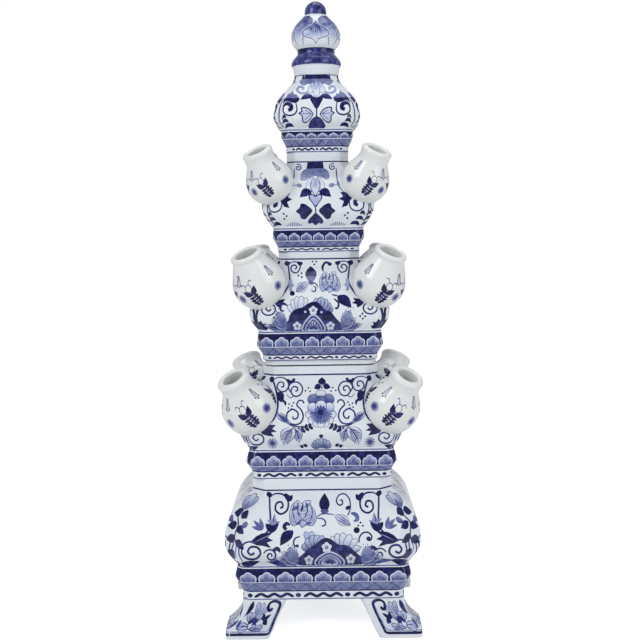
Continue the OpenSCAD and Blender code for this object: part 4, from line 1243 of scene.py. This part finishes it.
def repeated(name, mesh, material, first=0.0, ball=None):
    """A plain mesh object made by running the round tree over one part; ball holds the sockets' sizes."""
    tree = round_tree(name + "_nodes", ball is not None)
    values = {"Count": SIDES, "First Angle": first, "Weld": settings().weld,
              "Material": material} | (ball or {})
    holder = bpy.data.objects.new(name + "_part", mesh)
    bpy.context.scene.collection.objects.link(holder)
    modifier = holder.modifiers.new("Round", "NODES")
    modifier.node_group = tree
    for item in tree.interface.items_tree:
        if item.in_out == "INPUT" and item.name in values:
            modifier[item.identifier] = values[item.name]
    graph = bpy.context.evaluated_depsgraph_get()
    made = bpy.data.meshes.new_from_object(holder.evaluated_get(graph))
    bpy.data.objects.remove(holder)
    bpy.data.meshes.remove(mesh)
    bpy.data.node_groups.remove(tree)
    if not made.polygons:
        raise RuntimeError(f"{name}: the node tree made no faces")
    made.name = name
    piece = bpy.data.objects.new(name, made)
    bpy.context.scene.collection.objects.link(piece)
    return piece


# Materials
def srgb(r, g, b):
    """A colour given as 0 to 255 display values, as linear light."""
    shares = (v / 255 for v in (r, g, b))
    return tuple(v / 12.92 if v <= 0.04045 else ((v + 0.055) / 1.055) ** 2.4 for v in shares) + (1.0,)


def glaze(name, look, wash, white=TILE_WHITE):
    """Tin glaze over painted pigment: thin where the brush ran dry; pigment below 0 is bare clay, painted
    dark as the shade in the open seam.
    """
    material = bpy.data.materials.new(name)
    material.use_nodes = True
    tree = material.node_tree
    shader = tree.nodes["Principled BSDF"]
    shader.inputs["Roughness"].default_value = look.roughness
    shader.inputs["Specular IOR Level"].default_value = GLAZE_SPECULAR
    coords = add_node(tree, "ShaderNodeTexCoord")
    pigment = add_node(tree, "ShaderNodeAttribute", attribute_name="pigment")
    brush = add_node(tree, "ShaderNodeTexNoise", {"Scale": BRUSH_SCALE, "Detail": 3})
    cover = {"From Min": 0.3, "From Max": 0.7, "To Min": 1 - wash, "To Max": 1 + 0.35 * wash}
    spread = add_node(tree, "ShaderNodeMapRange", cover)
    thin = add_node(tree, "ShaderNodeMath", operation="MULTIPLY")
    ramp = add_node(tree, "ShaderNodeValToRGB")
    stops = ((WHITE, white), *BLUES)
    band = ramp.color_ramp
    while len(band.elements) < len(stops):
        band.elements.new(0.5)
    for element, (at, colour) in zip(band.elements, stops):
        element.position = at
        element.color = srgb(*colour)
    # Where the pigment is below 0: the seam's bare clay, painted dark as the shade in its gap
    bare = add_node(tree, "ShaderNodeMath", {1: 0.5 * CLAY_AND_SEAM_SHADE}, operation="LESS_THAN")
    body = add_node(tree, "ShaderNodeMix", {"B": srgb(*CLAY_AND_SEAM_SHADE_COLOUR)}, data_type="RGBA")
    ripple = add_node(tree, "ShaderNodeTexNoise", {"Scale": RIPPLE_SCALE})
    bump = add_node(tree, "ShaderNodeBump", {"Strength": look.ripple, "Distance": RIPPLE_DEPTH})
    wire(
        tree,
        (coords.outputs["Object"], brush.inputs["Vector"]),
        (brush.outputs["Fac"], spread.inputs["Value"]),
        (pigment.outputs["Fac"], thin.inputs[0]),
        (spread.outputs["Result"], thin.inputs[1]),
        (thin.outputs[0], ramp.inputs["Fac"]),
        (pigment.outputs["Fac"], bare.inputs[0]),
        (bare.outputs[0], body.inputs["Factor"]),
        (ramp.outputs["Color"], body.inputs["A"]),
        (body.outputs["Result"], shader.inputs["Base Color"]),
        (coords.outputs["Object"], ripple.inputs["Vector"]),
        (ripple.outputs["Fac"], bump.inputs["Height"]),
        (bump.outputs["Normal"], shader.inputs["Normal"]),
    )
    return material


def settings():
    return bpy.context.scene.tulipiere


def finished(piece, body, nodes):
    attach(piece, body)
    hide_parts(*nodes)


class TulipiereSettings(bpy.types.PropertyGroup):
    """Looks that one may change before the pieces are made."""

    edge: bpy.props.FloatProperty(
        name="Arris rounding", description="How far the glaze rounds a moulding's edges",
        default=0.0011, min=0.0003, max=0.003, unit="LENGTH", subtype="DISTANCE",
    )
    corner: bpy.props.FloatProperty(
        name="Corner rounding", description="Radius where a side turns into a canted corner",
        default=0.004, min=0.001, max=0.008, unit="LENGTH", subtype="DISTANCE",
    )
    weld: bpy.props.FloatProperty(
        name="Weld distance", description="Points nearer than this are joined where sides meet",
        default=0.000003, min=0.000001, max=0.0001, unit="LENGTH", subtype="DISTANCE",
    )
    sink: bpy.props.FloatProperty(
        name="Spout sink", description="How deep a spout's belly beds into its socket",
        default=0.0012, min=0.0, max=0.003, unit="LENGTH", subtype="DISTANCE",
    )
    roughness: bpy.props.FloatProperty(
        name="Glaze roughness", description="Roughness of the tin glaze",
        default=0.11, min=0.02, max=0.6, subtype="FACTOR",
    )
    ripple: bpy.props.FloatProperty(
        name="Glaze ripple", description="How uneven the glaze looks",
        default=0.18, min=0.0, max=1.0, subtype="FACTOR",
    )
    wash: bpy.props.FloatProperty(
        name="Brush wash", description="How unevenly the pigment covers",
        default=0.22, min=0.0, max=0.8, subtype="FACTOR",
    )


TIERS = (
    (BASE, base_sheet, None), (LOWER, lower_sheet, LOWER_SPOUT), (MIDDLE, middle_sheet, MIDDLE_SPOUT),
    (UPPER, upper_sheet, UPPER_SPOUT), (CROWN, crown_sheet, None),
)


def ball_spot(spout):
    """Distance from the axis and height of a spout's belly, by the tier's shape with hard edges."""
    z = body_z(spout.tier) + spout.ball_h
    side = CantedSide(spout.tier, HARD_EDGE, HARD_EDGE)
    a, c = np.interp(z, side.z, side.a), np.interp(z, side.z, side.c)
    return float((2 * a - c) / math.sqrt(2) + spout.out), float(z)


class TULIPIERE_OT_tiers(bpy.types.Operator):
    """Makes the base bowl, the three spouted tiers and the crown vase with their painted sides"""

    bl_idname = "tulipiere.tiers"
    bl_label = "Make Tiers"

    def execute(self, context):
        look = settings()
        material = glaze("painted_glaze", look, look.wash)
        for tier, sheet, spout in TIERS:
            side = side_of(tier)
            foot, head = side.z[0], side.z[-1]
            below, above = [(0, foot)], [(0, head)]
            if tier is LOWER:
                wide = 1 - WALL / (tier.neck_w / 2)
                above = [(wide, head), (wide, head - 2 * COLLAR_H), (0, head - 2 * COLLAR_H)]
            if tier is MIDDLE:
                hollow = 1 - WALL / side.a[0]
                below = [(hollow, foot), (hollow, foot + COLLAR_H - WALL), (0, foot + COLLAR_H - WALL)]
            mesh = painted_mesh(tier.node, side, sheet(), below, above)
            ball = None
            if spout:
                reach, z = ball_spot(spout)
                radius = spout.ball_d / 2 * MM - look.sink
                ball = {"Ball Radius": radius, "Ball Reach": reach * MM, "Ball Height": z * MM}
            piece = repeated("painted_" + tier.node, mesh, material, ball=ball)
            finished(piece, tier.body, [tier.node])
        return {"FINISHED"}


def tassel(sheet, x, z, k):
    """Three hanging strokes that part downwards, each with a bead."""
    for dx in (-1.9, 0.0, 1.9):
        end = z - (7.4 - 0.5 * abs(dx)) * k
        hang = [(x + 0.45 * dx * k, z), (x + 0.8 * dx * k, mix(z, end, 0.5)), (x + dx * k, end)]
        sheet.line(hang, 0.8 * k, COBALT, 1, 0.6)
        sheet.blob(x + dx * k, end, 0.7 * k, 0.8 * k, DEEP)


def sprig(sheet, x, z, k, lean):
    """A globe in a two-leaved cup on a fishbone stem, leaning by an angle in degrees."""
    c, s = heading(lean)

    def at(u, v):
        return x + k * (u * c + v * s), z + k * (v * c - u * s)

    sheet.blob(*at(0, 4.6), 2.9 * k, 2.9 * k, COBALT)
    sheet.blob(*at(0, 4.6), 2.4 * k, 2.4 * k, WHITE)
    for way in (-1, 1):
        sheet.leaf(at(-0.5 * way, -1.0), at(5.4 * way, 4.6), 4.2 * k, NAVY, -0.7 * way * k, 0.9)
        horn = ((1.6, 6.4), (2.6, 8.4), (4.6, 8.8), (5.6, 7.6))
        sheet.line([at(way * u, v) for u, v in horn], 0.6 * k, COBALT, 0.8, 0.6)
    sheet.line([at(0, -0.6), at(0.2, -9.4)], 0.9 * k, DEEP)
    for v, reach in ((-2.6, 4.4), (-4.9, 5.0), (-7.2, 4.6), (-9.2, 3.4)):
        for way in (-1, 1):
            sheet.leaf(at(0.1 * way, v - 0.2), at(reach * way, v + 0.5), 2.5 * k, NAVY, 0.2 * k)


def star(sheet, x, z, k):
    """A fuzzy dab, darkest in its middle."""
    sheet.tuft(x, z, 3.7 * k, 14, 0.9 * k, SOFT)
    sheet.tuft(x, z, 2.8 * k, 9, 1.0 * k, MID, 12)
    sheet.blob(x, z, 1.7 * k, 1.8 * k, COBALT)


def spout_sheet(spout):
    """Four sprigs, with a tassel and a star between each two, the same to both sides of the corner."""
    s = Sheet()
    r = spout.ball_d / 2
    k = r / SPRIG_BELLY
    quarter = r * math.pi / 2
    for x in (-quarter, 0.0, quarter, 2 * quarter - 4 * k):
        tassel(s, x, spout.tassel_z, k)
        star(s, x, spout.sprig_z - 3 * k, k)
    for s in s.both():
        sprig(s, spout.sprig_x, spout.sprig_z, k, -SPRIG_LEAN)
        sprig(s, 2 * quarter - spout.sprig_x, spout.sprig_z, k, SPRIG_LEAN)
    return s


def jar_profile(spout, roll, lip_r, roll_z, foot):
    """Heights and radii up a spout's outside: belly, coned shoulder, neck and rolled rim, under glaze."""
    r, neck = spout.ball_d / 2, spout.neck_d / 2
    neck_z = roll_z - spout.neck_h
    turn = math.atan2(neck_z, neck) - math.acos(min(1.0, r / math.hypot(neck, neck_z)))
    z = np.linspace(foot, roll_z, 72)
    belly = np.sqrt(np.maximum(r * r - z * z, 0))
    cone = np.interp(z, [r * math.sin(turn), neck_z, roll_z], [r * math.cos(turn), neck, neck])
    bead = lip_r + np.sqrt(np.maximum(roll * roll - (z - roll_z) ** 2, 0))
    lip = np.where(z > roll_z - roll, bead, 0)
    outer = np.maximum(np.where(z > r * math.sin(turn), cone, belly), lip)
    step = z[1] - z[0]
    kernel = np.hanning(2 * max(2, round(GLAZE_POOL / step)) + 1)
    pad = len(kernel) // 2
    ends = np.concatenate([np.full(pad, outer[0]), outer, np.full(pad, outer[-1])])
    smooth = np.convolve(ends, kernel / kernel.sum(), "valid")
    outer = np.where((z > 0) & (smooth > outer), smooth, outer)
    arc = np.linspace(0, math.pi / 2, 8)[1:]
    z = np.concatenate([z, roll_z + roll * np.sin(arc)])
    return z, np.concatenate([outer, lip_r + roll * np.cos(arc)])


class TULIPIERE_OT_spouts(bpy.types.Operator):
    """Makes the jar-shaped corner spouts, four to a tier"""

    bl_idname = "tulipiere.spouts"
    bl_label = "Make Spouts"

    def execute(self, context):
        look = settings()
        material = glaze("glazed_spout", look, look.wash, SPOUT_WHITE)
        for label, spout in (("lower", LOWER_SPOUT), ("middle", MIDDLE_SPOUT), ("upper", UPPER_SPOUT)):
            r, roll, bore = spout.ball_d / 2, spout.roll_d / 2, spout.bore_d / 2
            roll_z, lip_r = spout.reach - roll, spout.rim_d / 2 - roll - RIM_TRIM
            hole = bore + SPOUT_WALL
            z, outer = jar_profile(spout, roll, lip_r, roll_z, -math.sqrt(r * r - hole * hole))
            jar = Turned(z, outer, 1.0, 64, facing=0.0)
            inner = r - SPOUT_WALL
            crown = math.sqrt(inner * inner - bore * bore)
            low = math.sqrt(inner * inner - hole * hole)
            edge = outer[-1]
            rows = []
            for a in np.linspace(0, math.pi / 2, 7)[1:]:
                rows.append((max(bore, lip_r - roll * math.sin(a)) / edge, roll_z + roll * math.cos(a)))
            rows.append((bore / edge, crown))
            start, end = math.atan2(crown, bore), -math.atan2(low, hole)
            for a in np.linspace(start, end, 14)[1:]:
                rows.append((inner * math.cos(a) / edge, inner * math.sin(a)))
            mesh = painted_mesh(label, jar, spout_sheet(spout), (), rows, tube=True)
            reach, height = ball_spot(spout)
            tilt = Matrix.Rotation(math.radians(spout.tilt), 4, "Y")
            mesh.transform(Matrix.Translation((reach * MM, 0, height * MM)) @ tilt)
            piece = repeated(f"painted_{label}_spouts", mesh, material, math.pi / 4)
            finished(piece, spout.body, [f"{label}_spout_{c}" for c in CORNERS])
        return {"FINISHED"}


def foot_sheet():
    """A scrolled border round a spray of leaves on both outer faces, across from the inner front edge."""
    s = Sheet()
    inside = [(6, 22.6), (4.4, 13), (4.6, 4.4), (30.8, 4.4), (30.8, 23), (12, 23)]
    for s.flip, s.shift in ((1.0, 0.0), (-1.0, 2 * FOOT_W)):
        s.poly(inside, (MIST, WHITE))
        s.line([(5.6, 20), (5.4, 13), (5.4, 6.4), (12, 5.6), (30.8, 5.6)], 0.8, SOFT, 0.6, 1)
        spray = ((20, 12, 17.4, 21.6, LILAC), (21, 12, 21.4, 22, SOFT), (18, 11, 12.8, 19.4, LILAC),
                 (22, 10, 26.6, 15.4, LILAC), (19, 9, 15, 14.4, MID), (22, 9, 22.4, 15.6, SOFT),
                 (21, 8, 29, 8.6, SOFT), (18, 7, 10.4, 7.4, MID), (20, 7, 25.4, 6.2, LILAC),
                 (19, 7, 16, 8.4, SOFT))
        for x, z, tip_x, tip_z, tone in spray:
            s.petal((x, z), (tip_x, tip_z), 3.6, (tone, PALE), 0.45, DEEP)
            s.line([(x, z), (mix(x, tip_x, 0.75), mix(z, tip_z, 0.75))], 0.5, COBALT, 1, 0.3)
        s.tuft(20, 9.4, 3.4, 9, 1.0, DEEP, 20, 180)
        for base, tip in (((12.8, 11), (8.4, 14.4)), ((12.8, 11), (14.6, 15)), ((12.6, 11.6), (8, 8.8))):
            s.leaf(base, tip, 2.8, NAVY)
        s.leaf((25.6, 23.2), (29.4, 13), 3.6, NAVY, -0.6)
        s.leaf((30.4, 11.6), (27, 6.8), 2.4, COBALT, 0.4)
        s.line([(9.9, 17), (11.8, 16.8), (13.6, 19), (13.2, 21.6), (10.8, 22.9), (7.5, 22.4), (5, 20.4),
                (4.1, 16), (3.8, 10), (3.6, 5.4), (4.6, 3.9), (12, 3.7), (30.8, 3.7)], 2.0, NAVY, 1, 1)
        s.blob(10.2, 17.3, 1.3, 1.3, NAVY)
    return s


class TULIPIERE_OT_feet(bpy.types.Operator):
    """Makes the four splayed bracket feet"""

    bl_idname = "tulipiere.feet"
    bl_label = "Make Feet"

    def execute(self, context):
        look = settings()
        material = glaze("foot_glaze", look, look.wash)
        mesh = painted_mesh("foot", Bracket(), foot_sheet())
        close_ends(mesh)
        piece = repeated("painted_feet", mesh, material)
        finished(piece, LOWER_BODY, [f"foot_{c}" for c in CORNERS])
        return {"FINISHED"}


def close_ends(mesh):
    """Welds the seam of a rolled-up mesh and fills its two open ends."""
    bm = bmesh.new()
    bm.from_mesh(mesh)
    bmesh.ops.remove_doubles(bm, verts=bm.verts, dist=FOOT_SEAM)
    bmesh.ops.holes_fill(bm, edges=[e for e in bm.edges if e.is_boundary], sides=0)
    bmesh.ops.recalc_face_normals(bm, faces=bm.faces)
    bm.to_mesh(mesh)
    bm.free()


def finial_sheet(unit):
    """Washed petals round the bulb, blue knob, neck and ring; across is scaled to the widest turn."""
    s = Sheet(FINIAL_Z)
    quarter = unit * math.pi / 2
    s.ring(7.2, 16, FINIAL_BLUE)
    s.ring(16, 19.2, NAVY)
    s.ring(43.4, 60, DEEP)
    for x in (-quarter / 2, quarter / 2):
        s.fill([(x, 42), (x - 7, 41.4), (x - 11.8, 37.4), (x - 7.6, 27), (x, 22), (x + 7.6, 27),
                (x + 11.8, 37.4), (x + 7, 41.4)], (WHITE, DEEP))
        for d in (-9, -7, -5, -3, -1, 1, 3, 5, 7, 9):
            s.line([(x + 0.8 * d, 41.4 - 0.2 * abs(d)), (x + d, 33.4)], 1.2, COBALT, 1, 0.1, 0.8)
        for way in (-1, 1):
            s.line([(x + 5.8 * way, 31), (x + 4.6 * way, 26), (x + 2.8 * way, 20.8)], 0.6, DEEP, 0.6, 0.6)
    petal = ((0, 37), (2.6, 34.2), (6.8, 32), (9.8, 28.8), (7.6, 26.2), (4, 25.2), (1.6, 24), (0, 22),
             (-1.6, 24), (-4, 25.2), (-7.6, 26.2), (-9.8, 28.8), (-6.8, 32), (-2.6, 34.2))
    middle = 29.4
    for grow, tone in ((1.16, MIST), (1.07, DEEP), (1.0, (WHITE, COBALT))):
        s.fill([(grow * u, middle + grow * (v - middle)) for u, v in petal], tone)
    for d in (-6, -4, -2, 0, 2, 4, 6):
        s.line([(0.4 * d, 35 - 0.34 * abs(d)), (d, 27.6)], 0.9, COBALT, 1, 0.1, 0.8)
    s.line([(0, 35.6), (0.4, 28.6)], 0.5, DEEP, 0.8, 0.3)
    return s


class TULIPIERE_OT_finial(bpy.types.Operator):
    """Makes the turned finial"""

    bl_idname = "tulipiere.finial"
    bl_label = "Make Finial"

    def execute(self, context):
        look = settings()
        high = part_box("finial")[1]
        smooth = spline(FINIAL_PROFILE, step=0.6)
        order = np.maximum.accumulate(smooth[:, 0]) + np.arange(len(smooth)) * 1e-4
        top = min(order[-1], high.z / MM - FINIAL_Z)
        form = Turned(FINIAL_Z + np.minimum(order, top), np.minimum(smooth[:, 1], high.x / MM), 1 / SIDES, 24)
        mesh = painted_mesh("finial", form, finial_sheet(form.unit), [(0, FINIAL_Z)], [(0, form.z[-1])])
        piece = repeated("painted_finial", mesh, glaze("painted_finial", look, FINIAL_WASH * look.wash))
        finished(piece, UPPER_BODY, ["finial"])
        return {"FINISHED"}


def staged(scene, name, data):
    """An object that belongs to the studio and not to the part."""
    item = bpy.data.objects.new(name, data)
    scene.collection.objects.link(item)
    return item


def floor_paper():
    """White paper that also glows a little to the camera."""
    paper = bpy.data.materials.new("floor_paper")
    paper.use_nodes = True
    tree = paper.node_tree
    shader = tree.nodes["Principled BSDF"]
    shader.inputs["Base Color"].default_value = srgb(244, 244, 244)
    shader.inputs["Roughness"].default_value = 0.9
    glow = add_node(tree, "ShaderNodeEmission", {"Color": (0.62, 0.62, 0.62, 1)})
    add, ray = add_node(tree, "ShaderNodeAddShader"), add_node(tree, "ShaderNodeLightPath")
    wire(
        tree,
        (ray.outputs["Is Camera Ray"], glow.inputs["Strength"]),
        (shader.outputs[0], add.inputs[0]),
        (glow.outputs[0], add.inputs[1]),
        (add.outputs[0], tree.nodes["Material Output"].inputs["Surface"]),
    )
    return paper


def studio_world():
    """Soft light all round, and plain white where the camera looks past everything."""
    world = bpy.data.worlds.new("studio")
    world.use_nodes = True
    tree = world.node_tree
    tree.nodes.clear()
    rays, pick = add_node(tree, "ShaderNodeLightPath"), add_node(tree, "ShaderNodeMixShader")
    seen = add_node(tree, "ShaderNodeBackground", {"Color": (1, 1, 1, 1)})
    lit = add_node(tree, "ShaderNodeBackground", {"Color": srgb(236, 238, 242), "Strength": 0.55})
    out = add_node(tree, "ShaderNodeOutputWorld")
    wire(
        tree,
        (rays.outputs["Is Camera Ray"], pick.inputs["Fac"]),
        (lit.outputs[0], pick.inputs[1]),
        (seen.outputs[0], pick.inputs[2]),
        (pick.outputs[0], out.inputs[0]),
    )
    return world


class TULIPIERE_OT_stage(bpy.types.Operator):
    """Sets the floor, the studio lights, the white ground and the camera"""

    bl_idname = "tulipiere.stage"
    bl_label = "Set Stage"

    def execute(self, context):
        scene = context.scene
        scene.view_settings.view_transform = "Standard"
        mesh = bpy.data.meshes.new("floor")
        mesh.from_pydata([(-FAR, -FAR, 0), (FAR, -FAR, 0), (FAR, FAR, 0), (-FAR, FAR, 0)], [], [(0, 1, 2, 3)])
        mesh.materials.append(floor_paper())
        staged(scene, "floor", mesh)
        scene.world = studio_world()
        for name, spot, power, size in LAMPS:
            lamp = bpy.data.lights.new(name, "AREA")
            lamp.energy = power
            lamp.size = size
            item = staged(scene, name, lamp)
            item.location = spot
            item.rotation_euler = (TARGET - Vector(spot)).to_track_quat("-Z", "Y").to_euler()
        camera = bpy.data.cameras.new("camera")
        camera.lens = LENS
        camera.sensor_width = SENSOR
        camera.clip_start = 0.01
        eye = staged(scene, "camera", camera)
        c, s = heading(EYE_AZIMUTH)
        eye.location = (EYE_AWAY * s, -EYE_AWAY * c, EYE_HEIGHT)
        eye.rotation_mode = "QUATERNION"
        aim = Vector((-s, c, -math.tan(math.radians(EYE_PITCH)))).to_track_quat("-Z", "Y")
        eye.rotation_quaternion = aim @ Matrix.Rotation(math.radians(EYE_ROLL), 4, "Z").to_quaternion()
        scene.camera = eye
        return {"FINISHED"}


class TULIPIERE_PT_panel(bpy.types.Panel):
    """Shows the looks and the makers"""

    bl_idname = "TULIPIERE_PT_panel"
    bl_label = "Tulipiere"
    bl_space_type = "VIEW_3D"
    bl_region_type = "UI"
    bl_category = "Tulipiere"

    def draw(self, context):
        look = context.scene.tulipiere
        for name in ("edge", "corner", "weld", "sink", "roughness", "ripple", "wash"):
            self.layout.prop(look, name)
        for operator in OPERATORS:
            self.layout.operator(operator.bl_idname)


OPERATORS = (TULIPIERE_OT_tiers, TULIPIERE_OT_spouts, TULIPIERE_OT_feet, TULIPIERE_OT_finial,
             TULIPIERE_OT_stage)
CLASSES = (TulipiereSettings, *OPERATORS, TULIPIERE_PT_panel)


def register():
    for item in CLASSES:
        bpy.utils.register_class(item)
    bpy.types.Scene.tulipiere = bpy.props.PointerProperty(type=TulipiereSettings)


def unregister():
    del bpy.types.Scene.tulipiere
    for item in reversed(CLASSES):
        bpy.utils.unregister_class(item)


def main():
    register()
    bpy.ops.tulipiere.tiers()
    bpy.ops.tulipiere.spouts()
    bpy.ops.tulipiere.feet()
    bpy.ops.tulipiere.finial()
    bpy.ops.tulipiere.stage()


if __name__ == "__main__":
    main()
